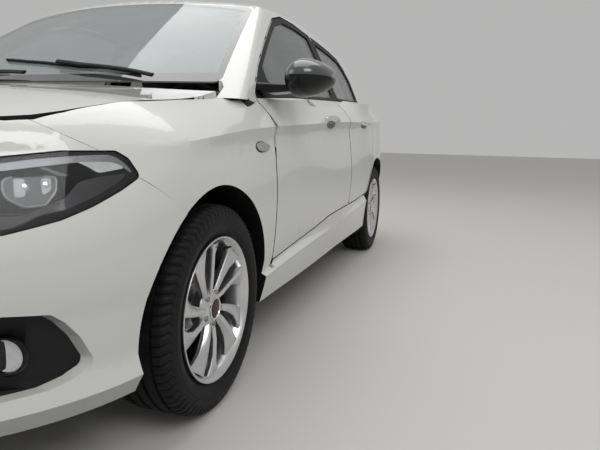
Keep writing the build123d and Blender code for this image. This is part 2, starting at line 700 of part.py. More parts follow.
# Grilles: slatted frames behind the two openings of the bumper
def front_band(low, high, near, far, half_width):
    """Band that follows the nose in plan between two depths behind it."""
    with BuildPart() as band:
        with BuildSketch(Plane.XY.offset(low)):
            with Locations((0, FRONT_CENTRE_Y)):
                Circle(FRONT_PLAN_R - near)
                Circle(FRONT_PLAN_R - far, mode=Mode.SUBTRACT)
            with Locations((0, NOSE_Y + 150)):
                Rectangle(2 * half_width, 400, mode=Mode.INTERSECT)
        extrude(amount=high - low)
    return band.part


def grille(outline, slats, near, far):
    """Frame that lies in an opening of the bumper, with level slats across it."""
    points = outline[1:-1]
    ring = points + [(-x, z) for x, z in reversed(points)]
    low = outline[0][1]
    high = outline[-1][1]
    space = end_prism(ring, 14, NOSE_Y - 50, NOSE_Y + 400, -SEAM)
    inner = end_prism(ring, 14, NOSE_Y - 50, NOSE_Y + 400, -GRILLE_RIM)
    rim = less(common(front_band(low, high, near, far, 500), space), inner)
    bars = []
    for k in range(slats):
        bar_z = low + (high - low) * (k + 1) / (slats + 1)
        band = front_band(bar_z - GRILLE_BAR / 2, bar_z + GRILLE_BAR / 2, near + 4, far - 4, 500)
        bars.append(common(band, space))
    return joined(rim, *bars)


GRILLE_RIM = 10.0
GRILLE_BAR = 9.0
grilles = joined(grille(UPPER_GRILLE, 3, 16, 44), grille(LOWER_GRILLE, 6, 24, 56))
save(grilles, "front_grilles")


# Wheel arch liners
def liner(axle_y, near, far, low_z):
    """Open-bottomed sleeve round a wheel with a wall on its inner side."""
    with BuildPart() as sleeve:
        with BuildSketch(Plane.YZ.offset(near)):
            with Locations((axle_y, WHEEL_Z)):
                Circle(ARCH_R - LINER_GAP)
        extrude(amount=far - near)
        with BuildSketch(Plane.YZ.offset(near + LINER_THICKNESS)):
            with Locations((axle_y, WHEEL_Z)):
                Circle(ARCH_R - LINER_GAP - LINER_THICKNESS)
        extrude(amount=far - near, mode=Mode.SUBTRACT)
        with Locations((near, axle_y, low_z - 500)):
            Box(1200, 1200, 1000, mode=Mode.SUBTRACT)
    return sleeve.part


# Wheels, drawn about their own centre with the street side towards +X
def tyre():
    """Tyre turned about the axle."""
    half = TYRE_WIDTH / 2
    bead = RIM_WIDTH / 2 - 22.0
    with BuildPart() as ring:
        with BuildSketch(Plane.XY):
            with BuildLine():
                shoulder = [
                    (bead, RIM_R), (half - 19, RIM_R + 18), (half, RIM_R + 50), (half - 8, TYRE_R - 18),
                    (half - 30, TYRE_R),
                ]
                Polyline(*shoulder, *[(-x, r) for x, r in reversed(shoulder)], shoulder[0])
            make_face()
        revolve(axis=Axis.X)
    return ring.part


# Wheel spoke sections, one row each: radius, half width, back and face depth from the wheel's middle
SPOKE_SECTIONS = [(52, 13, 46, 80), (95, 11, 50, 84), (150, 13, 56, 86), (198, 24, 62, 88)]
SPOKE_ROOT_R = SPOKE_SECTIONS[0][0]
SPOKE_TWIST = 7.0


def rim():
    """Alloy wheel with its barrel, paired spokes, hub, cap and brake disc."""
    flange = RIM_WIDTH / 2
    seat = RIM_R - SEAM
    wall = 8.0
    with BuildPart() as wheel:
        with BuildSketch(Plane.XY):
            with BuildLine():
                Polyline((-flange, RIM_LIP_R), (-flange + 9, RIM_LIP_R), (-flange + 22, seat),
                         (flange - 22, seat), (flange - 9, RIM_LIP_R), (flange, RIM_LIP_R),
                         (flange, 213), (flange - 8, seat - wall), (-flange + 8, seat - wall),
                         (-flange, RIM_LIP_R))
            make_face()
        revolve(axis=Axis.X)
        with BuildSketch(Plane.XY):
            with BuildLine():
                disc_face = DISC_THICKNESS - DISC_BACK
                Polyline((-HUB_DEPTH, 0), (-HUB_DEPTH, 48), (-DISC_BACK, 48), (-DISC_BACK, DISC_R),
                         (disc_face, DISC_R), (disc_face, 60), (62, 62), (80, 50), (80, CAP_R), (84, CAP_R),
                         (84, 0), (-HUB_DEPTH, 0))
            make_face()
        revolve(axis=Axis.X)
        for k in range(SPOKE_PAIRS * 2):
            pair_turn = 360.0 * (k // 2) / SPOKE_PAIRS
            lean = 360.0 / (SPOKE_PAIRS * 4) * (1 if k % 2 else -1)
            for radius, half_width, back, face in SPOKE_SECTIONS:
                share = (radius - SPOKE_ROOT_R) / (SPOKE_SECTIONS[-1][0] - SPOKE_ROOT_R)
                turn = math.radians(pair_turn + lean * (0.72 + 0.28 * share) + SPOKE_TWIST * share)
                out = Vector(0, math.sin(turn), math.cos(turn))
                with BuildSketch(Plane(origin=out * radius, x_dir=(1, 0, 0), z_dir=out)):
                    with BuildLine():
                        Polyline((back, -half_width * 0.8), (face - 6, -half_width),
                                 (face, -half_width * 0.35), (face - 7, half_width),
                                 (back, half_width * 0.8), (back, -half_width * 0.8))
                    make_face()
            loft(ruled=True)
    return wheel.part


left_rim = rim()
left_tyre = tyre()
WHEELS = [("front", FRONT_AXLE_Y), ("rear", REAR_AXLE_Y)]
for place, axle_y in WHEELS:
    for side, sign in (("left", 1), ("right", -1)):
        spot = Location((sign * WHEEL_X, axle_y, WHEEL_Z), (0, 0, 0 if sign > 0 else 180))
        save(left_rim.moved(spot), "wheel_" + place + "_" + side)
        save(left_tyre.moved(spot), "tyre_" + place + "_" + side)


# Front running gear: the knuckles turn about upright pins, the rest is fixed to the body
PIN_REACH = 148.0
ARM_END_X = KINGPIN_X + 11.0
STRUT_X = 590.0
STRUT_R = 27.0
SPRING_R = 58.0
SPRING_Z = 694.0
SUBFRAME_Z = 150.0
SUBFRAME_TALL = 86.0
TOWER_Z = 880.0
CALIPER_OUTER_R = 163.0
CALIPER_INNER_R = 104.0
CALIPER_HALF_ANGLE = 30.0


def knuckle():
    """Left knuckle with its wheel bearing, pins, steering arm and brake caliper."""
    low = WHEEL_Z - PIN_REACH
    with BuildPart() as upright:
        with BuildSketch(Plane.YZ.offset(660)):
            with Locations((FRONT_AXLE_Y, WHEEL_Z)):
                Circle(56)
        extrude(amount=WHEEL_X - HUB_DEPTH - SEAM - 660)
        with BuildSketch(Plane.XY.offset(low)):
            with Locations((KINGPIN_X - 18, FRONT_AXLE_Y)):
                RectangleRounded(36, 52, 8)
        extrude(amount=2 * PIN_REACH)
        with BuildSketch(Plane.XY.offset(WHEEL_Z - 22)):
            with Locations((654, FRONT_AXLE_Y + 95)):
                RectangleRounded(26, 140, 8)
        extrude(amount=22)
        hub_plane = Plane(origin=(684, FRONT_AXLE_Y, WHEEL_Z), x_dir=(0, 1, 0), z_dir=(1, 0, 0))
        with BuildSketch(hub_plane):
            with BuildLine():
                outer = CenterArc((0, 0), CALIPER_OUTER_R, -CALIPER_HALF_ANGLE, 2 * CALIPER_HALF_ANGLE)
                inner = CenterArc((0, 0), CALIPER_INNER_R, -CALIPER_HALF_ANGLE, 2 * CALIPER_HALF_ANGLE)
                Line(outer @ 0, inner @ 0)
                Line(outer @ 1, inner @ 1)
            make_face()
        extrude(amount=106)
        with BuildSketch(Plane.YZ.offset(684)):
            with Locations((FRONT_AXLE_Y + 80, WHEEL_Z)):
                Rectangle(70, 60)
        extrude(amount=12)
        with BuildSketch(Plane.YZ.offset(WHEEL_X - DISC_BACK - 4)):
            with Locations((FRONT_AXLE_Y, WHEEL_Z)):
                Circle(DISC_R + 4)
        extrude(amount=DISC_THICKNESS + 8, mode=Mode.SUBTRACT)
    return upright.part


left_knuckle = knuckle()
save(left_knuckle, "knuckle_left")
save(other_side(left_knuckle), "knuckle_right")

with BuildPart() as subframe:
    with BuildSketch(Plane.XY.offset(SUBFRAME_Z)):
        with BuildLine():
            FilletPolyline((-430, -1330), (430, -1330), (400, -1180), (430, -1060), (-430, -1060),
                           (-400, -1180), radius=24, close=True)
        make_face()
        with Locations((0, -1195)):
            RectangleRounded(420, 120, 30, mode=Mode.SUBTRACT)
    extrude(amount=SUBFRAME_TALL)
    for side in (1, -1):
        with BuildSketch(Plane.XY.offset(WHEEL_Z - PIN_REACH - 26)):
            with BuildLine():
                lower_arm = [
                    (400, -1300), (640, -1296), (ARM_END_X, -1279), (ARM_END_X, -1255), (640, -1238),
                    (470, -1160), (455, -1075), (400, -1075),
                ]
                FilletPolyline(*[(side * x, y) for x, y in lower_arm], radius=11, close=True)
            make_face()
        extrude(amount=26 - SEAM)
        with BuildSketch(Plane.XY.offset(WHEEL_Z + PIN_REACH + SEAM)):
            with BuildLine():
                upper_arm = [
                    (STRUT_X - 24, -1292), (STRUT_X + 40, -1292), (ARM_END_X, -1279), (ARM_END_X, -1255),
                    (STRUT_X + 40, -1242), (STRUT_X - 24, -1242),
                ]
                FilletPolyline(*[(side * x, y) for x, y in upper_arm], radius=11, close=True)
            make_face()
        extrude(amount=20)
        with BuildSketch(Plane.XY.offset(WHEEL_Z + 60)):
            with Locations((side * STRUT_X, FRONT_AXLE_Y)):
                Circle(STRUT_R)
        extrude(amount=TOWER_Z - SEAM - WHEEL_Z - 60)
        with BuildSketch(Plane.XY.offset(SPRING_Z)):
            with Locations((side * STRUT_X, FRONT_AXLE_Y)):
                Circle(SPRING_R)
        extrude(amount=TOWER_Z - SEAM - SPRING_Z)
save(subframe.part, "front_subframe")

# Rear axle: trailing arms on a twist beam, with hubs, springs and dampers
with BuildPart() as rear_axle:
    with BuildSketch(Plane.YZ.offset(-520)):
        with Locations((REAR_AXLE_Y - 270, 292)):
            RectangleRounded(74, 54, 20)
    extrude(amount=1040)
    for side in (1, -1):
        with BuildSketch(Plane.XY.offset(264)):
            with BuildLine():
                trailing_arm = [(560, -470), (480, -470), (500, -240), (590, 40), (645, 40), (570, -260)]
                trailing_arm = [(side * x, REAR_AXLE_Y + y) for x, y in trailing_arm]
                FilletPolyline(*trailing_arm, radius=12, close=True)
            make_face()
        extrude(amount=64)
        with BuildSketch(Plane.YZ.offset(side * 600)):
            with Locations((REAR_AXLE_Y, WHEEL_Z)):
                Circle(56)
        extrude(amount=side * (WHEEL_X - HUB_DEPTH - SEAM - 600))
        with BuildSketch(Plane.XY.offset(320)):
            with Locations((side * 500, REAR_AXLE_Y - 90)):
                Circle(52)
        extrude(amount=220.7)
        with BuildSketch(Plane.XY.offset(300)):
            with Locations((side * 520, REAR_AXLE_Y - 90)):
                RectangleRounded(140, 120, 30)
        extrude(amount=24)
save(rear_axle.part, "rear_axle")

# Floor, bulkhead and boot floor in one pressing, with the front rails and the strut towers
FLOOR_LINE = [
    (-1010, 905), (-990, 620), (-860, 300), (-800, FLOOR_Z), (700, FLOOR_Z), (800, 400), (1000, 420),
    (1100, 548), (2100, 548),
]
RAIL_WIDTH = 60.0
RAIL_HEIGHT = 84.0
FRONT_RAIL_X = 420.0
FRONT_RAIL_Z = 430.0
FLOOR_EDGE = [
    (0, -1100), (766, -1100), (775, -840), (783, -200), (783, 600), (778, 1250), (768, 1480), (700, 1750),
    (510, 1950), (0, 2070),
]
with BuildPart() as half_floor:
    with BuildSketch(Plane.YZ):
        with BuildLine() as floor_line:
            FilletPolyline(*FLOOR_LINE, radius=30)
        trace(lines=floor_line.line, line_width=FLOOR_THICKNESS)
    extrude(amount=830)
    with BuildSketch(Plane.XZ.offset(900)):
        with Locations((FRONT_RAIL_X, FRONT_RAIL_Z)):
            RectangleRounded(RAIL_WIDTH, RAIL_HEIGHT, 8)
    extrude(amount=1060.7)
    with BuildSketch(Plane.XY.offset(TOWER_Z)):
        with BuildLine():
            FilletPolyline((500, -1345), (672, -1345), (680, -1240), (690, -995), (500, -995), radius=20,
                           close=True)
        make_face()
    extrude(amount=8)
    with BuildSketch(Plane.XY):
        with BuildLine():
            Polyline((0, -2100), (560, -2100), (700, -1350), *FLOOR_EDGE[1:], (0, -2100))
        make_face()
    extrude(amount=HEIGHT, mode=Mode.INTERSECT)
    with BuildSketch(Plane.XY.offset(JACK_PAD_Z)):
        with Locations(*[(JACK_PAD_X, pad_y) for pad_y in JACK_PAD_YS]):
            RectangleRounded(60, 90, 6)
    extrude(amount=FLOOR_Z - JACK_PAD_Z)
    wing_root = end_prism([(620, 1000), (740, 846), (900, 846), (900, 1000)], 2, -1300, -700)
    add([front_arch, rear_arch, a_post, wing_root], mode=Mode.SUBTRACT)
with BuildPart() as buffer:
    with BuildSketch(Plane.XY.offset(TOWER_Z + 4)):
        with Locations((STRUT_X, FRONT_AXLE_Y - 50)):
            Circle(11)
    extrude(amount=80)
    add(bonnet.moved(Location((0, 0, -SEAM))), mode=Mode.SUBTRACT)
buffer = buffer.part.solids().sort_by(Axis.Z)[0]
with BuildPart() as striker:
    with BuildSketch(Plane.XY.offset(545)):
        with Locations((0, 2050)):
            Rectangle(60, 60)
    extrude(amount=75)
    with BuildSketch(Plane.XY.offset(585)):
        with Locations((0, 2100)):
            Rectangle(60, 80)
    extrude(amount=35)
    add(tailgate.moved(Location((0, -SEAM, 0))), mode=Mode.SUBTRACT)
striker = striker.part.solids().sort_by(Axis.Y)[0]
floor_pan = joined(both_sides(joined(half_floor.part, buffer)), striker)
save(floor_pan, "floor_pan")

# Arch liners
with BuildPart() as strut_hole:
    with BuildSketch(Plane.XY.offset(500)):
        with Locations((STRUT_X, FRONT_AXLE_Y)):
            Circle(STRUT_R + SEAM)
    extrude(amount=SPRING_Z - 500)
liners = [both_sides(less(liner(FRONT_AXLE_Y, LINER_INNER_X + SEAM, 812, WHEEL_Z + 20), strut_hole.part)),
          both_sides(liner(REAR_AXLE_Y, LINER_REAR_X + SEAM, 812, WHEEL_Z + 60))]
save(joined(*liners), "arch_liners")

# Engine with gearbox and drive shafts as one block, and the radiator ahead of it
SHAFT_END_X = 610.0
with BuildPart() as engine:
    with BuildSketch(Plane.XY.offset(SUBFRAME_Z + SUBFRAME_TALL + SEAM)):
        with Locations((40, -1450)):
            RectangleRounded(620, 380, 40)
    extrude(amount=500, taper=4)
    with BuildSketch(Plane.YZ.offset(-SHAFT_END_X)):
        with Locations((FRONT_AXLE_Y, WHEEL_Z)):
            Circle(14)
    extrude(amount=2 * SHAFT_END_X)
save(engine.part, "engine")
with BuildPart() as radiator:
    with BuildSketch(Plane.XY.offset(250)):
        with Locations((0, -1975)):
            RectangleRounded(660, 36, 6)
    extrude(amount=400)
    with BuildSketch(Plane.YZ.offset(-RAIL_WIDTH / 2 - FRONT_RAIL_X)):
        with Locations((-1988, FRONT_RAIL_Z)):
            RectangleRounded(54, 70, 8)
    extrude(amount=2 * FRONT_RAIL_X + RAIL_WIDTH)
save(radiator.part, "radiator")

# Exhaust and fuel tank under the floor
with BuildPart() as exhaust:
    with BuildSketch(Plane.XZ.offset(1040)):
        with Locations((-60, 203.7)):
            Circle(25)
    extrude(amount=-2450)
    with BuildSketch(Plane.XZ.offset(-1760)):
        with Locations((-250, 300)):
            SlotOverall(560, 190)
    extrude(amount=-210)
    with BuildSketch(Plane.XZ.offset(-1400)):
        with Locations((-60, 232)):
            RectangleRounded(60, 100, 20)
    extrude(amount=-370)
    with BuildSketch(Plane.XZ.offset(-1970)):
        with Locations((-330, 255)):
            Circle(27)
        with Locations((-330, 255)):
            Circle(23, mode=Mode.SUBTRACT)
    extrude(amount=-80)
save(exhaust.part, "exhaust")
with BuildPart() as tank:
    with BuildSketch(Plane.XY.offset(FLOOR_Z + 8)):
        with Locations((230, 945)):
            RectangleRounded(480, 190, 40)
    extrude(amount=154.2, taper=3)
save(tank.part, "fuel_tank")

# Dashboard with its centre console
DASH_HALF = 736.0
DASH_SHELF = [
    (-700, -930), (-600, -984), (-300, -1069), (0, -1097), (300, -1069), (600, -984), (700, -930),
    (DASH_HALF, -860), (DASH_HALF, -700), (-DASH_HALF, -700), (-DASH_HALF, -860),
]
with BuildPart() as dashboard:
    with BuildSketch(Plane.YZ.offset(-DASH_HALF)):
        with BuildLine():
            FilletPolyline((-925, 700), (-925, 920), (-830, 966), (-660, 962), (-590, 900), (-572, 800),
                           (-640, 700), (-700, 600), (-840, 560), radius=24, close=True)
        make_face()
    extrude(amount=2 * DASH_HALF)
    with BuildSketch(Plane.YZ.offset(-118)):
        with BuildLine():
            FilletPolyline((-780, FLOOR_TOP_Z), (-780, 700), (-590, 760), (-560, 640), (-480, 470),
                           (60, 455), (150, 530), (330, 530), (350, FLOOR_TOP_Z), radius=18, close=True)
        make_face()
    extrude(amount=236)
    add(plan_prism(DASH_SHELF, 6, 908, 966))
    with BuildSketch(Plane(origin=(370, -640, 800), x_dir=(1, 0, 0), z_dir=(0, 0.93, 0.36))):
        Circle(32)
    extrude(amount=168.8)
save(dashboard.part, "dashboard")

# Steering wheel on its leaning column
WHEEL_RING_R = 182.0
WHEEL_RING_TUBE = 15.0
STEER_X = 370.0
COLUMN_DIR = (0, 0.93, 0.36)
STEER_CENTRE = (STEER_X, -445.0, 875.5)
with BuildPart() as steering_wheel:
    steer_plane = Plane(origin=STEER_CENTRE, x_dir=(1, 0, 0), z_dir=COLUMN_DIR)
    with BuildSketch(Plane(origin=STEER_CENTRE, x_dir=(1, 0, 0), z_dir=steer_plane.y_dir)):
        with Locations((WHEEL_RING_R, 0)):
            RegularPolygon(WHEEL_RING_TUBE, 8)
    revolve(axis=Axis(STEER_CENTRE, COLUMN_DIR))
    with BuildSketch(steer_plane.offset(-40)):
        Circle(70)
    extrude(amount=50, taper=8)
    with BuildSketch(steer_plane.offset(-22)):
        with Locations((0, 6)):
            Rectangle(2 * WHEEL_RING_R - 16, 46)
        with Locations((0, -WHEEL_RING_R / 2)):
            Rectangle(40, WHEEL_RING_R - 10)
    extrude(amount=18)
save(steering_wheel.part, "steering_wheel")


def seat(x, width, y, base_z, rest):
    """Seat with cushion, back and headrest, on a plinth down to base_z."""
    with BuildPart() as chair:
        with BuildSketch(Plane.YZ.offset(x - width / 2)):
            with BuildLine():
                FilletPolyline((y - 300, 470), (y - 285, 560), (y + 190, 545), (y + 330, 1120),
                               (y + 440, 1100),
                               (y + 330, 560), (y + 250, 430), radius=34, close=True)
            make_face()
        extrude(amount=width)
        with BuildSketch(Plane.XY.offset(base_z)):
            with Locations((x, y - 20)):
                RectangleRounded(width - 110, 470, 20)
        extrude(amount=480 - base_z)
        for head_x in rest:
            with BuildSketch(Plane.XZ.offset(-(y + 350))):
                with Locations((head_x, 1180)):
                    RectangleRounded(230, 150, 50)
            extrude(amount=-90)
            with BuildSketch(Plane.XY.offset(1060)):
                with Locations((head_x - 60, y + 388), (head_x + 60, y + 388)):
                    Circle(8)
            extrude(amount=100)
    return chair.part


front_seats = joined(
    seat(STEER_X, 500, 40, FLOOR_TOP_Z, [STEER_X]),
    seat(-STEER_X, 500, 40, FLOOR_TOP_Z, [-STEER_X]))
save(front_seats, "front_seats")
with BuildPart() as rear_bench:
    with BuildSketch(Plane.YZ.offset(-550)):
        with BuildLine():
            FilletPolyline((560, 470), (575, 570), (1030, 555), (1180, 1120), (1290, 1100), (1190, 575),
                           (1130, 562), (1060, 562), (1000, 470), radius=6, close=True)
        make_face()
    extrude(amount=1100)
    with BuildSketch(Plane.YZ.offset(-520)):
        Polygon((830, 411), (990, 426.7), (990, 490), (830, 490), align=None)
    extrude(amount=1040)
    for head_x in (400, 0, -400):
        with BuildSketch(Plane.XZ.offset(-1195)):
            with Locations((head_x, 1150)):
                RectangleRounded(230, 130, 50)
        extrude(amount=-80)
save(rear_bench.part, "rear_bench")


# Door mirror sections, one row each: x, y, z of the centre, half width, height
MIRROR_SECTIONS = [
    (902, -742, 1040, 60, 70), (935, -745, 1046, 110, 138), (1000, -738, 1052, 118, 148),
    (1045, -725, 1056, 84, 112), (1064, -716, 1058, 36, 60),
]
MIRROR_ROOT_X = 798.0


def door_mirror():
    """Left door mirror: a rounded housing on a short arm from the door's front corner."""
    with BuildPart() as mirror_body:
        for x, y, z, wide, tall in MIRROR_SECTIONS:
            with BuildSketch(Plane(origin=(x, y, z), x_dir=(0, 1, 0), z_dir=(1, 0, 0))):
                Ellipse(wide, tall / 2)
        loft()
        with BuildSketch(Plane(origin=(MIRROR_ROOT_X, -760, 1006), x_dir=(0, 1, 0), z_dir=(1, 0, 0))):
            RectangleRounded(120, 42, 18)
        extrude(amount=150, taper=4)
        with BuildSketch(Plane.XZ.offset(700)):
            with Locations((985, 1052)):
                RectangleRounded(190, 160, 40)
        extrude(amount=-100, mode=Mode.SUBTRACT)
    return mirror_body.part


left_mirror = less(door_mirror(), front_door)
save(left_mirror, "door_mirror_left")
save(other_side(left_mirror), "door_mirror_right")
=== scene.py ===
"""Looks of a five-door hatchback car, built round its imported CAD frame."""

import json
import logging
import math
from dataclasses import dataclass
from enum import Enum
from typing import Any, Callable, Sequence

import bmesh
import bpy
from mathutils import Matrix, Vector
from mathutils.bvhtree import BVHTree


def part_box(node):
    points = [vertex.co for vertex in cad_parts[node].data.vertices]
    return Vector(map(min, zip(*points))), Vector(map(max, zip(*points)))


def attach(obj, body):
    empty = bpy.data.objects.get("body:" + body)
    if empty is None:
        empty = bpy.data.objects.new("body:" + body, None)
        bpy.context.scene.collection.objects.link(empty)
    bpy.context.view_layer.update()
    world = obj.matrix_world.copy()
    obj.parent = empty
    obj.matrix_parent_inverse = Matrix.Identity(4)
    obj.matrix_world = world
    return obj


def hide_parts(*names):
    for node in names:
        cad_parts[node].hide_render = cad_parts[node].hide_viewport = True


log = logging.getLogger("hatchback")
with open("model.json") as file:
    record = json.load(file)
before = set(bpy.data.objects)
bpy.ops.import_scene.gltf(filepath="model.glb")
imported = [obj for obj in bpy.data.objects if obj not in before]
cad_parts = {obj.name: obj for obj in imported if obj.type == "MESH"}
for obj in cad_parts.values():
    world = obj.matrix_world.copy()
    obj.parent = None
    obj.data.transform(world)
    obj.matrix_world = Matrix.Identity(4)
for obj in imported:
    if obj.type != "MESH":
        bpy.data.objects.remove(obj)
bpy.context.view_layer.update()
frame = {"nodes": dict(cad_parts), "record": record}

Pair = tuple[float, float]
Point = tuple[float, float, float]
Outline = Sequence[Pair]
Surface = tuple[Vector, Vector]  # a place on a surface and the outward direction there
Mesh = bmesh.types.BMesh
Material = bpy.types.Material

FULL_TURN = 2 * math.pi
WELD = 0.00002  # corners of a CAD mesh nearer than this are one, in metres
JOIN = 0.00001  # the same for a form made here
NEARBY = (0.0, 0.003, -0.003, 0.006, -0.006, 0.012, -0.012, 0.02, -0.02)  # looks across a gap
NODE_SLOT: dict[str, str] = {s["node"]: s["material_slot"] for s in frame["record"]["subparts"]}
NODE_BODY: dict[str, str] = {
    node: body for body, nodes in frame["record"]["behaviour"]["bodies"].items() for node in nodes
}


class Side(Enum):
    """Side of the car, with the sign of its X."""

    LEFT = 1
    RIGHT = -1

    @property
    def word(self) -> str:
        """Lower-case name used in node and body names."""
        return self.name.lower()


# Shaders


class Val:
    """A socket's value that takes part in Python sums and adds its own Math nodes."""

    def __init__(self, shade: "Shade", socket: bpy.types.NodeSocket) -> None:
        """Wraps a socket of a material under construction."""
        self.shade = shade
        self.socket = socket

    def _math(self, operation: str, first: Any, second: Any) -> "Val":
        """Adds one Math node of the named operation."""
        return self.shade.node("ShaderNodeMath", {"operation": operation}, {0: first, 1: second})[0]

    def __add__(self, other: Any) -> "Val":
        """Sum."""
        return self._math("ADD", self, other)

    def __sub__(self, other: Any) -> "Val":
        """Difference."""
        return self._math("SUBTRACT", self, other)

    def __rsub__(self, other: Any) -> "Val":
        """Difference, reflected."""
        return self._math("SUBTRACT", other, self)

    def __mul__(self, other: Any) -> "Val":
        """Product."""
        return self._math("MULTIPLY", self, other)

    def sine(self) -> "Val":
        """Sine of the value in radians."""
        return self._math("SINE", self, 0.0)

    def size(self) -> "Val":
        """Value without its sign."""
        return self._math("ABSOLUTE", self, 0.0)

    def most(self, other: Any) -> "Val":
        """Greater of two."""
        return self._math("MAXIMUM", self, other)


class Shade:
    """A material under construction, with one method that adds any node."""

    def __init__(self, name: str) -> None:
        """Starts a material that holds a Principled shader alone.

        Args:
            name: the material's name.
        """
        self.material = bpy.data.materials.new(name)
        self.material.use_nodes = True
        self.tree = self.material.node_tree
        self.tree.nodes.clear()
        output = self.tree.nodes.new("ShaderNodeOutputMaterial")
        self.shader = self.tree.nodes.new("ShaderNodeBsdfPrincipled")
        self.tree.links.new(self.shader.outputs[0], output.inputs[0])

    def node(self, kind: str, settings: dict[str, Any], inputs: dict[Any, Any]) -> list[Val]:
        """Adds a node.

        Args:
            kind: the node's type.
            settings: its own settings.
            inputs: values or links by socket name or number.

        Returns:
            Its outputs.
        """
        made = self.tree.nodes.new(kind)
        for key, value in settings.items():
            setattr(made, key, value)
        for key, value in inputs.items():
            self.feed(made.inputs[key], value)
        return [Val(self, out) for out in made.outputs]

    def feed(self, socket: bpy.types.NodeSocket, value: Any) -> None:
        """Links a value to a socket, or sets it there.

        Args:
            socket: the input.
            value: a Val, a number or a colour.
        """
        if isinstance(value, Val):
            self.tree.links.new(value.socket, socket)
        elif isinstance(value, (tuple, list)) and socket.type == "RGBA":
            socket.default_value = (*value[:3], 1.0)
        else:
            socket.default_value = value

    def set(self, **sockets: Any) -> None:
        """Feeds sockets of the main shader, named with underscores for spaces."""
        for key, value in sockets.items():
            self.feed(self.shader.inputs[key.replace("_", " ")], value)

    def place(self) -> Val:
        """Place on the piece, in metres."""
        return self.node("ShaderNodeTexCoord", {}, {})[3]

    def axes(self) -> list[Val]:
        """Place on the piece as three numbers."""
        return self.node("ShaderNodeSeparateXYZ", {}, {0: self.place()})

    def noise(self, scale: float, detail: float = 3.0, rough: float = 0.5) -> Val:
        """Soft random pattern.

        Args:
            scale: patches to the metre.
            detail: finer layers on top.
            rough: strength of the finer layers.

        Returns:
            Value from 0 to 1.
        """
        inputs = {"Vector": self.place(), "Scale": scale, "Detail": detail, "Roughness": rough}
        return self.node("ShaderNodeTexNoise", {}, inputs)[0]

    def ramp(self, value: Val, low: float, high: float) -> Val:
        """Value squeezed to 0 to 1 between two limits."""
        return self.node("ShaderNodeMapRange", {}, {"Value": value, "From Min": low, "From Max": high})[0]

    def mix(self, share: Any, first: Any, second: Any) -> Val:
        """Colour between two others."""
        return self.node("ShaderNodeMix", {"data_type": "RGBA"}, {0: share, 6: first, 7: second})[2]

    def bump(self, height: Val, strength: float, distance: float) -> None:
        """Raises the surface by a pattern."""
        inputs = {"Height": height, "Strength": strength, "Distance": distance}
        self.set(Normal=self.node("ShaderNodeBump", {}, inputs)[0])


@dataclass(frozen=True)
class CarPaint:
    """Solid colour under clear coat."""

    name: str = "car_paint"
    colour: Point = (0.80, 0.80, 0.775)
    low_colour: Point = (0.70, 0.69, 0.66)
    film_heights: Pair = (0.22, 0.5)

    def material(self) -> Material:
        """Makes paint with faint road film low down and a very fine orange peel.

        Returns:
            The material.
        """
        shade = Shade(self.name)
        height = shade.axes()[2]
        film = (1.0 - shade.ramp(height, *self.film_heights)) * shade.noise(14.0, 5.0, 0.6)
        shade.set(Base_Color=shade.mix(film * 0.5, self.colour, self.low_colour))
        shade.set(Roughness=film * 0.3 + shade.noise(3.0) * 0.06 + 0.22)
        shade.set(Coat_Weight=1.0, Coat_Roughness=0.03, Specular_IOR_Level=0.5)
        shade.bump(shade.noise(420.0, 2.0), 0.02, 0.0006)
        return shade.material


@dataclass(frozen=True)
class Moulding:
    """Moulded plastic with a fine grain."""

    name: str
    colour: Point
    rough: float = 0.55
    grain: float = 900.0
    depth: float = 0.12
    sheen: float = 0.3

    def material(self) -> Material:
        """Makes grained plastic with paler scuffed patches.

        Returns:
            The material.
        """
        shade = Shade(self.name)
        pale = tuple(min(1.0, c * 1.7 + 0.004) for c in self.colour)
        wear = shade.ramp(shade.noise(9.0, 6.0, 0.65), 0.45, 0.8)
        shade.set(Base_Color=shade.mix(wear * 0.5, self.colour, pale))
        shade.set(Roughness=shade.noise(30.0) * 0.15 + (self.rough - 0.07), Specular_IOR_Level=self.sheen)
        shade.bump(shade.noise(self.grain, 2.0), self.depth, 0.0008)
        return shade.material


@dataclass(frozen=True)
class Metal:
    """Bare, lacquered or plated metal."""

    name: str
    colour: Point
    rough: float = 0.2
    patch: float = 12.0
    spread: float = 0.12
    depth: float = 0.0
    coat: float = 0.0
    metallic: float = 1.0

    def material(self) -> Material:
        """Makes metal whose shine varies in soft patches.

        Returns:
            The material.
        """
        shade = Shade(self.name)
        cloud = shade.noise(self.patch, 5.0, 0.6)
        dark = tuple(c * 0.72 for c in self.colour)
        shade.set(Base_Color=shade.mix(shade.ramp(cloud, 0.35, 0.75) * 0.6, self.colour, dark))
        shade.set(Roughness=cloud * self.spread + self.rough, Metallic=self.metallic, Coat_Weight=self.coat)
        if self.depth:
            shade.bump(shade.noise(self.patch * 26, 4.0), self.depth, 0.001)
        return shade.material


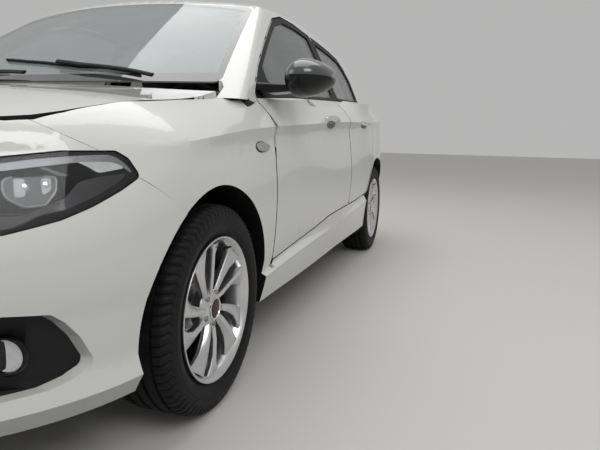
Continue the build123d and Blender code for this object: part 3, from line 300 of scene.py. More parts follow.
@dataclass(frozen=True)
class WindowGlass:
    """Thin tinted glass, partly opaque with a pale painted reflection, dark behind a printed border where
    asked.

    The border starts at three lines in plan: low and head are each a bend and a place along the car,
    side is a place along the car, a slope and a half width.
    """

    name: str
    tint: Point = (0.70, 0.78, 0.75)
    alpha: float = 0.42
    body: float = 0.05
    bordered: bool = False
    print_grey: Point = (0.055, 0.057, 0.059)
    low: Pair = (0.356, -1.062)
    side: Point = (0.938, -0.2091, 0.690)
    head: Pair = (0.06, -0.412)

    def border(self, shade: Shade) -> Val:
        """Finds the windscreen's printed border, which widens towards its lower corners.

        Args:
            shade: the glass under construction.

        Returns:
            One on the border and nought inside it.
        """
        x, y, _ = shade.axes()
        out = x.size()
        start, slope, half = self.side
        low = (out * out * self.low[0] + self.low[1]) - y
        side = out - ((y + start) * slope + half)
        head = y - (out * out * self.head[0] + self.head[1])
        return shade.ramp(low.most(side).most(head), -0.001, 0.001)

    def material(self) -> Material:
        """Makes glass as a thin coat over a partly opaque sheet whose pale colour is painted reflection,
        with faint dust.

        Returns:
            The material.
        """
        shade = Shade(self.name)
        dust = shade.ramp(shade.noise(5.0, 6.0, 0.6), 0.5, 0.9)
        # the sheet's pale colour and its opacity are painted reflection of the room, not the glass's own
        # tint alone
        dark = tuple(c * self.body for c in self.tint)
        colour, alpha = shade.mix(dust * 0.2, dark, self.tint), dust * 0.06 + self.alpha
        if self.bordered:
            edge = self.border(shade)
            colour, alpha = shade.mix(edge, colour, self.print_grey), alpha * (1.0 - edge) + edge
        shade.set(Base_Color=colour)
        shade.set(Alpha=alpha, Roughness=dust * 0.04 + 0.01)
        shade.set(Specular_IOR_Level=0.9, Coat_Weight=1.0, Coat_Roughness=0.01)
        return shade.material


@dataclass(frozen=True)
class TailLens:
    """Tail lamp's ribbed lens: red, with a clear band for the reversing lamp."""

    name: str = "tail_lens"
    red: Point = (0.36, 0.008, 0.010)
    clear: Point = (0.55, 0.53, 0.50)
    band: Pair = (0.792, 0.832)

    def material(self) -> Material:
        """Makes a glossy lens with fine upright ribs over paler and darker chambers.

        Returns:
            The material.
        """
        shade = Shade(self.name)
        x, y, z = shade.axes()
        low, high = self.band
        white = shade.ramp(z, low, low + 0.002) * (1.0 - shade.ramp(z, high - 0.002, high))
        ribs = ((x.size() + y) * 700.0).sine() * 0.5 + 0.5
        chamber = ((z - 0.72) * 27.0).sine().size()
        deep = shade.mix(chamber * 0.5 + ribs * 0.2, tuple(c * 0.35 for c in self.red), self.red)
        shade.set(Base_Color=shade.mix(white, deep, self.clear))
        shade.set(Roughness=ribs * 0.05 + 0.08, Coat_Weight=1.0, Coat_Roughness=0.02)
        shade.bump(ribs, 0.08, 0.0006)
        return shade.material


@dataclass(frozen=True)
class Rubber:
    """Tyre rubber."""

    name: str = "tyre_rubber"
    colour: Point = (0.006, 0.006, 0.007)
    dust_colour: Point = (0.026, 0.025, 0.023)

    def material(self) -> Material:
        """Makes black rubber with dusty patches.

        Returns:
            The material.
        """
        shade = Shade(self.name)
        dust = shade.ramp(shade.noise(22.0, 6.0, 0.7), 0.42, 0.75)
        shade.set(Base_Color=shade.mix(dust * 0.5, self.colour, self.dust_colour))
        shade.set(Roughness=dust * 0.2 + 0.55, Specular_IOR_Level=0.22)
        shade.bump(shade.noise(500.0, 3.0), 0.15, 0.0006)
        return shade.material


@dataclass(frozen=True)
class Cloth:
    """Woven seat cloth; its thread is in millimetres."""

    name: str = "seat_cloth"
    colour: Point = (0.035, 0.036, 0.042)
    thread: float = 1.6

    def material(self) -> Material:
        """Makes cloth with a crossed weave.

        Returns:
            The material.
        """
        shade = Shade(self.name)
        x, y, z = shade.axes()
        turns = FULL_TURN * 1000.0 / self.thread
        weave = (x * turns).sine() * ((y + z) * turns).sine() * 0.5 + 0.5
        pale = tuple(c * 2.4 + 0.01 for c in self.colour)
        shade.set(Base_Color=shade.mix(weave * 0.5 + shade.noise(60.0) * 0.3, self.colour, pale))
        shade.set(Roughness=0.85, Sheen_Weight=0.35, Sheen_Roughness=0.5)
        shade.bump(weave, 0.35, 0.0006)
        return shade.material


class Paints:
    """Every finish of the car, made once."""

    def __init__(self) -> None:
        """Builds the materials."""
        self.body = CarPaint().material()
        self.black = Moulding("black_trim", (0.006, 0.006, 0.007), 0.5).material()
        self.gloss_black = Moulding("gloss_black", (0.003, 0.003, 0.004), 0.16, 300.0, 0.01).material()
        self.liner = Moulding("liner_black", (0.003, 0.003, 0.003), 0.9, 200.0, 0.4, 0.08).material()
        self.dash = Moulding("dash_black", (0.020, 0.020, 0.022), 0.62, 700.0, 0.25).material()
        # window glass: its pale, partly opaque colour is painted reflection of the room
        self.glass = WindowGlass("window_glass", (0.70, 0.78, 0.75), 0.48, 0.24).material()
        self.lens = WindowGlass("lamp_lens", (0.9, 0.93, 0.95), 0.10).material()
        self.alloy = Metal("alloy_silver", (0.66, 0.66, 0.67), 0.24, 9.0, 0.10, 0.0, 1.0).material()
        self.chrome = Metal("chrome", (0.83, 0.84, 0.86), 0.05, 20.0, 0.06).material()
        self.disc = Metal("disc_steel", (0.42, 0.41, 0.40), 0.30, 40.0, 0.2, 0.1).material()
        self.cast = Metal("cast_steel", (0.10, 0.10, 0.10), 0.55, 25.0, 0.2, 0.4, 0.0, 0.6).material()
        self.steel = Metal("dull_steel", (0.33, 0.31, 0.29), 0.42, 18.0, 0.25, 0.1).material()
        self.engine = Metal("rough_cast", (0.30, 0.30, 0.31), 0.50, 14.0, 0.2, 0.5, 0.0, 0.8).material()
        self.floor = Moulding("floor_primer", (0.035, 0.035, 0.037), 0.7, 160.0, 0.3).material()
        self.rubber = Rubber().material()
        self.cloth = Cloth().material()
        self.red = TailLens().material()
        self.cap = Moulding("cap_maroon", (0.045, 0.014, 0.016), 0.30, 300.0, 0.02).material()
        self.tank = Moulding("tank_black", (0.02, 0.02, 0.022), 0.6, 120.0, 0.2).material()
        self.lining = Moulding("headliner", (0.42, 0.42, 0.40), 0.9, 350.0, 0.3).material()
        self.satin = Metal("satin_grey", (0.30, 0.31, 0.32), 0.34, 30.0, 0.08, 0.0, 0.2, 0.6).material()
        self.smoke = Metal("smoke_grey", (0.055, 0.056, 0.060), 0.28, 30.0, 0.1, 0.0, 0.3, 0.4).material()
        self.reflector = Metal("reflector", (0.88, 0.89, 0.90), 0.12, 40.0, 0.05, 0.0, 0.5, 0.5).material()
        shell = Metal("mirror_grey", (0.085, 0.088, 0.092), 0.20, 8.0, 0.06, 0.0, 1.0, 0.3)
        self.mirror_grey = shell.material()
        self.silvered = Metal("silvered_glass", (0.80, 0.82, 0.83), 0.02, 20.0, 0.02).material()
        self.repeater = Moulding("repeater_clear", (0.42, 0.42, 0.40), 0.12, 300.0, 0.01).material()
        # windscreen: its pale, partly opaque colour is painted reflection of the room, with a real printed
        # border
        self.screen = WindowGlass("windscreen_glass", (0.72, 0.79, 0.79), 0.62, 0.52, True).material()


# Mesh helpers


def dressed(bm: Mesh, name: str, material: Material, body: str) -> bpy.types.Object:
    """Turns a finished bmesh into a piece of the car.

    Args:
        bm: the mesh, in car coordinates; it is freed.
        name: the piece's name.
        material: its finish.
        body: the moving body it rides on.

    Returns:
        The object.
    """
    mesh = bpy.data.meshes.new(name)
    bm.to_mesh(mesh)
    bm.free()
    piece = bpy.data.objects.new(name, mesh)
    bpy.context.scene.collection.objects.link(piece)
    mesh.materials.append(material)
    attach(piece, body)
    log.info("%s: %d faces", name, len(mesh.polygons))
    return piece


def smooth_by_angle(bm: Mesh, degrees: float) -> None:
    """Shades faces smooth and marks sharp edges.

    Args:
        bm: the mesh.
        degrees: edges that bend by more than this are sharp.
    """
    limit = math.radians(degrees)
    for face in bm.faces:
        face.smooth = True
    for edge in bm.edges:
        edge.smooth = len(edge.link_faces) == 2 and edge.calc_face_angle(0.0) < limit


def cad_mesh(node: str) -> Mesh:
    """Copies a CAD node's mesh, with corners that lie together merged.

    Args:
        node: the CAD node.

    Returns:
        The copy.
    """
    bm = bmesh.new()
    bm.from_mesh(frame["nodes"][node].data)
    bmesh.ops.remove_doubles(bm, verts=bm.verts, dist=WELD)
    return bm


def search_tree(nodes: Sequence[str]) -> BVHTree:
    """Merges CAD nodes into one search tree.

    Args:
        nodes: the CAD nodes.

    Returns:
        The tree.
    """
    bm = bmesh.new()
    for node in nodes:
        bm.from_mesh(frame["nodes"][node].data)
    tree = BVHTree.FromBMesh(bm)
    bm.free()
    return tree


class Skin:
    """Outer surface of chosen CAD nodes, to lay small pieces on."""

    def __init__(self, *nodes: str) -> None:
        """Merges the nodes' meshes into one search tree."""
        self.tree = search_tree(nodes)

    def cast(self, start: Sequence[float], way: Sequence[float]) -> Surface | None:
        """Finds the first surface along a line.

        Args:
            start: where the line starts.
            way: its direction.

        Returns:
            The place and the outward normal there, or None.
        """
        aim = Vector(way).normalized()
        place, normal, _, _ = self.tree.ray_cast(Vector(start), aim)
        if place is None:
            return None
        return place, (normal if normal.dot(aim) < 0 else -normal)

    def beside(self, side: Side, y: float, z: float) -> Surface:
        """Finds the car's side at a place in the side view.

        Args:
            side: side of the car.
            y: place along the car.
            z: height.

        Returns:
            The place and the outward normal, from nearby where a gap lies at the place itself.
        """
        for shift in NEARBY:
            found = self.cast((side.value * 2.0, y + shift * 0.7, z + shift), (-side.value, 0, 0))
            if found:
                return Vector((found[0].x, y, z)), found[1]
        place, normal, _, _ = self.tree.find_nearest(Vector((side.value * 0.85, y, z)))
        return Vector((place.x, y, z)), (normal if normal.x * side.value > 0 else -normal)


@dataclass(frozen=True)
class Sheet:
    """How a flat outline is divided and laid on a surface as a thin plate."""

    step: float
    rounds: int
    grid: bool
    thick: float

    def laid(self, outline: Outline, seat: Callable[[float, float], Vector]) -> Mesh:
        """Lays a plate.

        Args:
            outline: its corners in the flat.
            seat: gives the place in space of a place in the flat.

        Returns:
            The plate.
        """
        bm = bmesh.new()
        face = bm.faces.new([bm.verts.new((0.0, a, b)) for a, b in outline])
        bmesh.ops.triangulate(bm, faces=[face])
        for _ in range(self.rounds):
            long_edges = [e for e in bm.edges if e.calc_length() > self.step]
            if not long_edges:
                break
            bmesh.ops.subdivide_edges(bm, edges=long_edges, cuts=1, use_grid_fill=self.grid)
            bmesh.ops.triangulate(bm, faces=bm.faces)
        for vert in bm.verts:
            vert.co = seat(vert.co.y, vert.co.z)
        bmesh.ops.solidify(bm, geom=bm.faces[:], thickness=self.thick)
        bmesh.ops.recalc_face_normals(bm, faces=bm.faces)
        smooth_by_angle(bm, 40.0)
        return bm


def patch(skin: Skin, side: Side, outline: Outline, proud: float, thick: float, step: float) -> Mesh:
    """Lays a thin plate of a given outline on the car's side.

    Args:
        skin: surface it lies on.
        side: side of the car.
        outline: places (Y, Z) round it.
        proud: how far its face stands over the surface.
        thick: its thickness.
        step: greatest distance between points.

    Returns:
        The plate.
    """

    def seat(y: float, z: float) -> Vector:
        """Place over the skin."""
        place, normal = skin.beside(side, y, z)
        return place + normal * proud

    return Sheet(step, rounds=7, grid=True, thick=thick).laid(outline, seat)


def rounded(points: Outline, radius: float, steps: int) -> list[Pair]:
    """Rounds an outline's corners.

    Args:
        points: corners of the closed outline.
        radius: how far from a corner its round starts, at most half a side.
        steps: points in each round.

    Returns:
        The rounded outline.
    """
    result = []
    count = len(points)
    for k in range(count):
        before, corner, after = Vector(points[k - 1]), Vector(points[k]), Vector(points[(k + 1) % count])
        back, on = before - corner, after - corner
        reach_back = min(radius, back.length * 0.49)
        reach_on = min(radius, on.length * 0.49)
        start, end = corner + back.normalized() * reach_back, corner + on.normalized() * reach_on
        for j in range(steps + 1):
            t = j / steps
            spot = start * (1 - t) ** 2 + corner * 2 * t * (1 - t) + end * t ** 2
            result.append((spot.x, spot.y))
    return result


def oval(count: int, place: Callable[[float, float], Pair]) -> list[Pair]:
    """Goes round an oval.

    Args:
        count: corners.
        place: gives a corner from the cosine and the sine of its turn.

    Returns:
        The outline.
    """
    turns = [FULL_TURN * k / count for k in range(count)]
    return [place(math.cos(turn), math.sin(turn)) for turn in turns]


def bead(line: Sequence[Surface], width: float, height: float, sides: int = 8) -> Mesh:
    """Runs a rounded strip along a line of surface points.

    Args:
        line: places and surface normals along it.
        width: width of the strip on the surface.
        height: its height over the surface.
        sides: facets of its section.

    Returns:
        The strip.
    """
    bm = bmesh.new()
    rings = []
    for k, (place, normal) in enumerate(line):
        ahead = line[k + 1][0] if k < len(line) - 1 else place
        behind = line[k - 1][0] if k > 0 else place
        run = (ahead - behind).normalized()
        across = run.cross(normal).normalized()
        ring = []
        for j in range(sides):
            turn = FULL_TURN * (j + 0.5) / sides
            spot = place + across * (math.cos(turn) * width / 2) + normal * (math.sin(turn) * height / 2)
            ring.append(bm.verts.new(spot))
        rings.append(ring)
    for first, second in zip(rings, rings[1:]):
        for j in range(sides):
            bm.faces.new((first[j - 1], first[j], second[j], second[j - 1]))
    bm.faces.new(rings[0])
    bm.faces.new(rings[-1])
    bmesh.ops.recalc_face_normals(bm, faces=bm.faces)
    smooth_by_angle(bm, 60.0)
    return bm


def divided(points: Sequence[Sequence[float]], step: float) -> list[Vector]:
    """Divides a line's runs so that none is longer than a step.

    Args:
        points: corners of the line.
        step: greatest run.

    Returns:
        Corners and the places between them.
    """
    corners = [Vector(p) for p in points]
    result = []
    for first, second in zip(corners, corners[1:]):
        parts = max(1, math.ceil((second - first).length / step))
        result += [first.lerp(second, k / parts) for k in range(parts)]
    return result + [corners[-1]]


def spun(profile: Sequence[Point], axis: Point, steps: int, closed: bool) -> Mesh:
    """Turns a profile about an axis through the origin.

    Args:
        profile: its corners.
        axis: direction of the axis.
        steps: steps of the turn.
        closed: whether the last corner joins the first.

    Returns:
        The turned shape.
    """
    bm = bmesh.new()
    line = [bm.verts.new(p) for p in profile]
    ends = line[1:] + line[:1] if closed else line[1:]
    edges = [bm.edges.new(pair) for pair in zip(line, ends)]
    bmesh.ops.spin(bm, geom=line + edges, cent=(0, 0, 0), axis=axis, angle=FULL_TURN, steps=steps,
                   use_merge=True)
    bmesh.ops.remove_doubles(bm, verts=bm.verts, dist=JOIN)
    return bm


# Pieces of the car


@dataclass
class Wheel:
    """Alloy wheel with its tyre, drawn about its own centre with +X to the street.

    Profiles are places along the axle and radii, and so is the place where the shoulder's blocks start.
    A spoke's row holds its radius, its swirl in degrees, its half width, its fold's place, its face's
    place along the axle and its thickness. Steps of a groove are shares of a pitch.
    """

    place: str
    side: Side
    paints: Paints
    rim_radius: float = 0.203
    lip_radius: float = 0.2205
    half_width: float = 0.098
    tyre_radius: float = 0.316
    spokes: int = 10
    bolts: int = 5
    first_spoke: float = 6.0
    pitches: int = 74
    shoulder: Pair = (0.0595, 0.290)
    block_lean: float = 0.35
    block_height: float = 0.02
    groove_depths: Pair = (0.0055, 0.003)
    groove_waist: float = 0.0035
    groove_steps: tuple[float, ...] = (0.0, 0.20, 0.25, 0.60, 0.95)
    wall: tuple[Pair, ...] = (
        (0.074, 0.2035), (0.084, 0.209), (0.0865, 0.2225), (0.092, 0.2285), (0.0935, 0.2335),
        (0.0995, 0.2400), (0.1025, 0.2520), (0.1035, 0.2640), (0.1025, 0.2655), (0.1025, 0.2680),
        (0.1035, 0.2700), (0.1015, 0.2840),
    )
    tread: tuple[Pair, ...] = (
        (0.0985, 0.2940), (0.0935, 0.3030), (0.0860, 0.3100), (0.0740, 0.3140), (0.0600, 0.3152),
        (0.0590, 0.3085), (0.0510, 0.3085), (0.0500, 0.3155), (0.0230, 0.3160), (0.0220, 0.3090),
        (0.0130, 0.3090), (0.0120, 0.3160),
    )
    hub: tuple[Pair, ...] = (
        (0.030, 0.001), (0.030, 0.062), (0.060, 0.062), (0.0725, 0.050), (0.0790, 0.0385),
        (0.0800, 0.0350), (0.0770, 0.0335), (0.0770, 0.001),
    )
    cap_ring: tuple[Pair, ...] = (
        (0.0770, 0.0345), (0.0830, 0.0340), (0.0842, 0.0325), (0.0838, 0.0300), (0.0815, 0.0285),
        (0.0770, 0.0285),
    )
    cap_disc: tuple[Pair, ...] = (
        (0.0770, 0.0005), (0.0770, 0.0286), (0.0812, 0.0286), (0.0826, 0.0240), (0.0832, 0.0120),
        (0.0834, 0.0005),
    )
    brake: tuple[Pair, ...] = (
        (-0.054, 0.001), (-0.054, 0.046), (-0.038, 0.048), (-0.038, 0.141), (-0.036, 0.142),
        (-0.029, 0.142), (-0.028, 0.138), (-0.026, 0.138), (-0.025, 0.142), (-0.018, 0.142),
        (-0.016, 0.141), (-0.016, 0.074), (0.004, 0.070), (0.006, 0.066), (0.006, 0.001),
    )
    spoke_rows: tuple[tuple[float, ...], ...] = (
        (0.040, -2.0, 0.0085, -0.30, 0.072, 0.012),
        (0.066, -1.0, 0.0105, -0.45, 0.078, 0.014),
        (0.100, 1.0, 0.0125, -0.20, 0.083, 0.015),
        (0.140, 4.0, 0.0170, 0.15, 0.087, 0.015),
        (0.172, 7.5, 0.0255, 0.45, 0.089, 0.014),
        (0.199, 11.0, 0.0370, 0.70, 0.090, 0.012),
    )

    def finished(self, bm: Mesh, name: str, material: Material, slot: str) -> bpy.types.Object:
        """Moves a shape to the wheel's place on the car and makes it a piece.

        Args:
            bm: the shape, drawn about the wheel's own centre.
            name: start of the piece's name.
            material: its finish.
            slot: the record's material slot; not used.

        Returns:
            The piece.
        """
        low, high = (Vector(c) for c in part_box(f"tyre_{self.place}_{self.side.word}"))
        turn = Matrix.Identity(4) if self.side is Side.LEFT else Matrix.Rotation(math.pi, 4, "Z")
        bm.transform(Matrix.Translation((low + high) / 2) @ turn)
        bmesh.ops.recalc_face_normals(bm, faces=bm.faces)
        where = f"{self.place}_{self.side.word}"
        return dressed(bm, f"{name}_{where}", material, f"wheel_{where}")

    def turned(self, profile: Outline, steps: int) -> Mesh:
        """Turns a closed profile about the axle."""
        return spun([(x, 0.0, r) for x, r in profile], (1, 0, 0), steps, True)

    def tyre(self) -> None:
        """Builds the tyre, with shoulder blocks between transverse grooves and three running grooves."""
        outer = self.wall + self.tread
        profile = outer + tuple((-x, r) for x, r in reversed(outer))
        parts = len(self.groove_steps)
        steps = self.pitches * parts
        bm = self.turned(profile, steps)
        pitch = FULL_TURN / self.pitches
        for vert in bm.verts:
            x, y, z = vert.co
            radius = math.hypot(y, z)
            whole, part = divmod(round(math.atan2(y, z) / FULL_TURN * steps), parts)
            angle = (whole + self.groove_steps[part]) * pitch
            blocks = abs(x) > self.shoulder[0] and radius > self.shoulder[1]
            lean = 0.0
            if blocks:
                lean = self.block_lean * pitch * (self.tyre_radius - radius) / self.block_height
            if blocks and part < 2:
                radius -= self.groove_depths[0] if radius > 0.300 else self.groove_depths[1]
                x -= math.copysign(self.groove_waist if radius < 0.306 else 0.0, x)
            vert.co = (x, radius * math.sin(angle + lean), radius * math.cos(angle + lean))
        smooth_by_angle(bm, 32.0)
        piece = self.finished(bm, "tyre_dressed", self.paints.rubber, "tyre_rubber")
        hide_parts(f"tyre_{self.place}_{self.side.word}")

    def barrel(self) -> Mesh:
        """Builds the rim's well, flange and polished lip.

        Returns:
            The rim.
        """
        flange, lip, seat = self.half_width, self.lip_radius, self.rim_radius
        front = [
            (flange, lip - 0.001), (flange + 0.0008, lip - 0.004), (flange - 0.002, lip - 0.008),
            (flange - 0.006, lip - 0.011), (flange - 0.012, 0.2040), (flange - 0.030, 0.1960),
            (0.040, 0.1925), (-0.060, 0.1840), (-flange, 0.1900),
        ]
        back = [
            (-flange, lip), (-flange + 0.009, lip), (-flange + 0.022, seat - 0.001),
            (flange - 0.024, seat - 0.001), (flange - 0.010, lip - 0.002), (flange - 0.004, lip),
        ]
        return self.turned(front + back, 120)

    def spoke(self, bm: Mesh, turn: float, fold: float) -> None:
        """Adds one twisted, folded spoke.

        Args:
            bm: mesh that takes the spoke.
            turn: direction from the axle, in radians.
            fold: how far the fold leans to the other edge, plus or minus one.
        """
        rings = []
        street = Vector((1.0, 0.0, 0.0))
        for radius, swirl, half, ridge, face, thick in self.spoke_rows:
            angle = turn + math.radians(swirl)
            out = Vector((0.0, math.sin(angle), math.cos(angle)))
            across = Vector((0.0, math.cos(angle), -math.sin(angle)))
            sunk = 0.007 + 0.004 * radius / 0.2
            points = [
                (-half, face - sunk - thick), (-half, face - sunk * (0.5 + 0.5 * fold)),
                (ridge * fold * half, face),
                (half, face - sunk * (0.5 - 0.5 * fold) - 0.004), (half, face - sunk - thick),
            ]
            rings.append([bm.verts.new(out * radius + across * a + street * d) for a, d in points])
        for first, second in zip(rings, rings[1:]):
            for k in range(len(first)):
                bm.faces.new((first[k], first[k - 1], second[k - 1], second[k]))
        bm.faces.new(rings[0])
        bm.faces.new(list(reversed(rings[-1])))

    def alloy(self) -> None:
        """Builds the rim, spokes and hub in one casting."""
        bm = self.barrel()
        for k in range(self.spokes):
            turn = FULL_TURN * k / self.spokes - math.radians(self.first_spoke)
            paired = math.radians(2.5) * (1 if k % 2 else -1)
            self.spoke(bm, turn + paired, 1.0 if k % 2 else -1.0)
        hub = self.turned(self.hub, 80)
        mesh = bpy.data.meshes.new("hub_part")
        hub.to_mesh(mesh)
        hub.free()
        bm.from_mesh(mesh)
        bpy.data.meshes.remove(mesh)
        smooth_by_angle(bm, 24.0)
        piece = self.finished(bm, "alloy", self.paints.alloy, "alloy")
        bevel = piece.modifiers.new("edges", "BEVEL")
        bevel.width = 0.0009
        bevel.segments = 2
        bevel.limit_method = "ANGLE"
        bevel.angle_limit = math.radians(24.0)
        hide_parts(f"wheel_{self.place}_{self.side.word}")

    def lug_bolts(self) -> None:
        """Builds the bolts in the hollows between the spokes' roots."""
        bm = bmesh.new()
        for k in range(self.bolts):
            turn = FULL_TURN * (k + 0.5) / self.bolts - math.radians(self.first_spoke)
            seat = Matrix.Translation((0.070, 0.049 * math.sin(turn), 0.049 * math.cos(turn)))
            made = bmesh.ops.create_cone(bm, cap_ends=True, segments=6, radius1=0.0098, radius2=0.0085,
                                         depth=0.016, matrix=seat @ Matrix.Rotation(math.pi / 2, 4, "Y"))
            edges = list({e for v in made["verts"] for e in v.link_edges})
            bmesh.ops.bevel(bm, geom=edges, offset=0.0008, affect="EDGES", segments=1, profile=0.5,
                            material=-1)
        smooth_by_angle(bm, 40.0)
        self.finished(bm, "lug_bolts", self.paints.steel, "alloy")

    def plain(self, name: str, profile: Outline, steps: int, degrees: float, material: Material) -> None:
        """Builds one turned piece that needs nothing more.

        Args:
            name: start of its name.
            profile: its profile.
            steps: steps of the turn.
            degrees: edges that bend by more than this are sharp.
            material: its finish.
        """
        bm = self.turned(profile, steps)
        smooth_by_angle(bm, degrees)
        self.finished(bm, name, material, "alloy")

    def valve(self) -> None:
        """Builds the tyre valve with its cap."""
        bm = bmesh.new()
        lean = Matrix.Rotation(math.radians(70.0), 4, "Y")
        seat = Matrix.Rotation(math.radians(-24.0), 4, "X") @ Matrix.Translation((0.086, 0.0, 0.190))
        bmesh.ops.create_cone(bm, cap_ends=True, segments=12, radius1=0.0045, radius2=0.0028, depth=0.024,
                              matrix=seat @ lean)
        smooth_by_angle(bm, 40.0)
        self.finished(bm, "valve", self.paints.black, "tyre_rubber")

    def build(self) -> None:
        """Makes everything that turns with this wheel."""
        self.tyre()
        self.alloy()
        self.lug_bolts()
        self.plain("cap_ring", self.cap_ring, 72, 40.0, self.paints.chrome)
        self.plain("centre_cap", self.cap_disc, 72, 40.0, self.paints.cap)
        self.plain("brake_disc", self.brake, 96, 35.0, self.paints.disc)
        self.valve()


@dataclass(frozen=True)
class Studio:
    """Camera, lamps, floor and world; a lamp's row holds its name, place, aim, size and watts."""

    eye: Point = (1.5655, -2.716, 0.8338)
    yaw: float = 17.264
    pitch: float = 9.151
    roll: float = 1.231
    focal: float = 548.02
    picture_width: float = 600.0
    sensor: float = 36.0
    lamps: tuple[tuple[str, Point, Point, Pair, float], ...] = (
        ("key", (4.5, -4.5, 5.5), (0, -0.8, 0.6), (3.5, 3.5), 150.0),
        ("fill", (-5.0, -3.0, 4.0), (0, 0, 0.6), (4.0, 3.0), 60.0),
        ("top", (0.0, 1.0, 6.0), (0, 0.5, 0.5), (5.0, 6.0), 130.0),
    )

    def camera(self) -> None:
        """Adds the camera at the photograph's place."""
        data = bpy.data.cameras.new("camera")
        data.sensor_width = self.sensor
        data.lens = self.focal * self.sensor / self.picture_width
        data.clip_start = 0.05
        data.clip_end = 60.0
        camera = bpy.data.objects.new("camera", data)
        yaw, pitch, roll = (math.radians(v) for v in (self.yaw, self.pitch, self.roll))
        level = math.cos(pitch)
        ahead = Vector((-math.sin(yaw) * level, math.cos(yaw) * level, -math.sin(pitch)))
        right = ahead.cross(Vector((0, 0, 1))).normalized()
        up = right.cross(ahead)
        right, up = (math.cos(roll) * right + math.sin(roll) * up,
                     -math.sin(roll) * right + math.cos(roll) * up)
        turn = Matrix((right, up, -ahead)).transposed().to_4x4()
        camera.matrix_world = Matrix.Translation(self.eye) @ turn
        bpy.context.scene.collection.objects.link(camera)
        bpy.context.scene.camera = camera

    def lamp(self, name: str, place: Point, aim: Point, size: Pair, watts: float) -> None:
        """Adds one soft rectangular lamp.

        Args:
            name: its name.
            place: where it hangs.
            aim: the place it shines at.
            size: its two sides.
            watts: its power.
        """
        data = bpy.data.lights.new(name, "AREA")
        data.shape = "RECTANGLE"
        data.size, data.size_y = size
        data.energy = watts
        lamp = bpy.data.objects.new(name, data)
        way = Vector(aim) - Vector(place)
        lamp.matrix_world = Matrix.Translation(place) @ way.to_track_quat("-Z", "Y").to_matrix().to_4x4()
        bpy.context.scene.collection.objects.link(lamp)

    def floor(self) -> None:
        """Adds the pale floor, which lights the car from below less than it looks."""
        bm = bmesh.new()
        bmesh.ops.create_grid(bm, x_segments=1, y_segments=1, size=30.0)
        mesh = bpy.data.meshes.new("floor")
        bm.to_mesh(mesh)
        bm.free()
        floor = bpy.data.objects.new("floor", mesh)
        bpy.context.scene.collection.objects.link(floor)
        shade = Shade("floor_pale")
        rays = shade.node("ShaderNodeLightPath", {}, {})
        to_camera, glossy, through = (rays[k] for k in (0, 3, 6))
        seen = to_camera.most(glossy).most(through)
        pale = shade.mix(shade.noise(0.8) * 0.3, (0.62, 0.61, 0.59), (0.66, 0.65, 0.63))
        shade.set(Base_Color=shade.mix(seen, (0.16, 0.16, 0.16), pale), Roughness=0.75)
        mesh.materials.append(shade.material)

    def world(self) -> None:
        """Sets the even studio surroundings."""
        world = bpy.data.worlds.new("studio")
        bpy.context.scene.world = world
        world.use_nodes = True
        back = world.node_tree.nodes["Background"]
        back.inputs[0].default_value = (0.93, 0.93, 0.925, 1.0)
        back.inputs[1].default_value = 0.50

    def build(self) -> None:
        """Sets up everything round the car."""
        self.camera()
        self.floor()
        self.world()
        for row in self.lamps:
            self.lamp(*row)
        bpy.context.scene.view_settings.view_transform = "Standard"


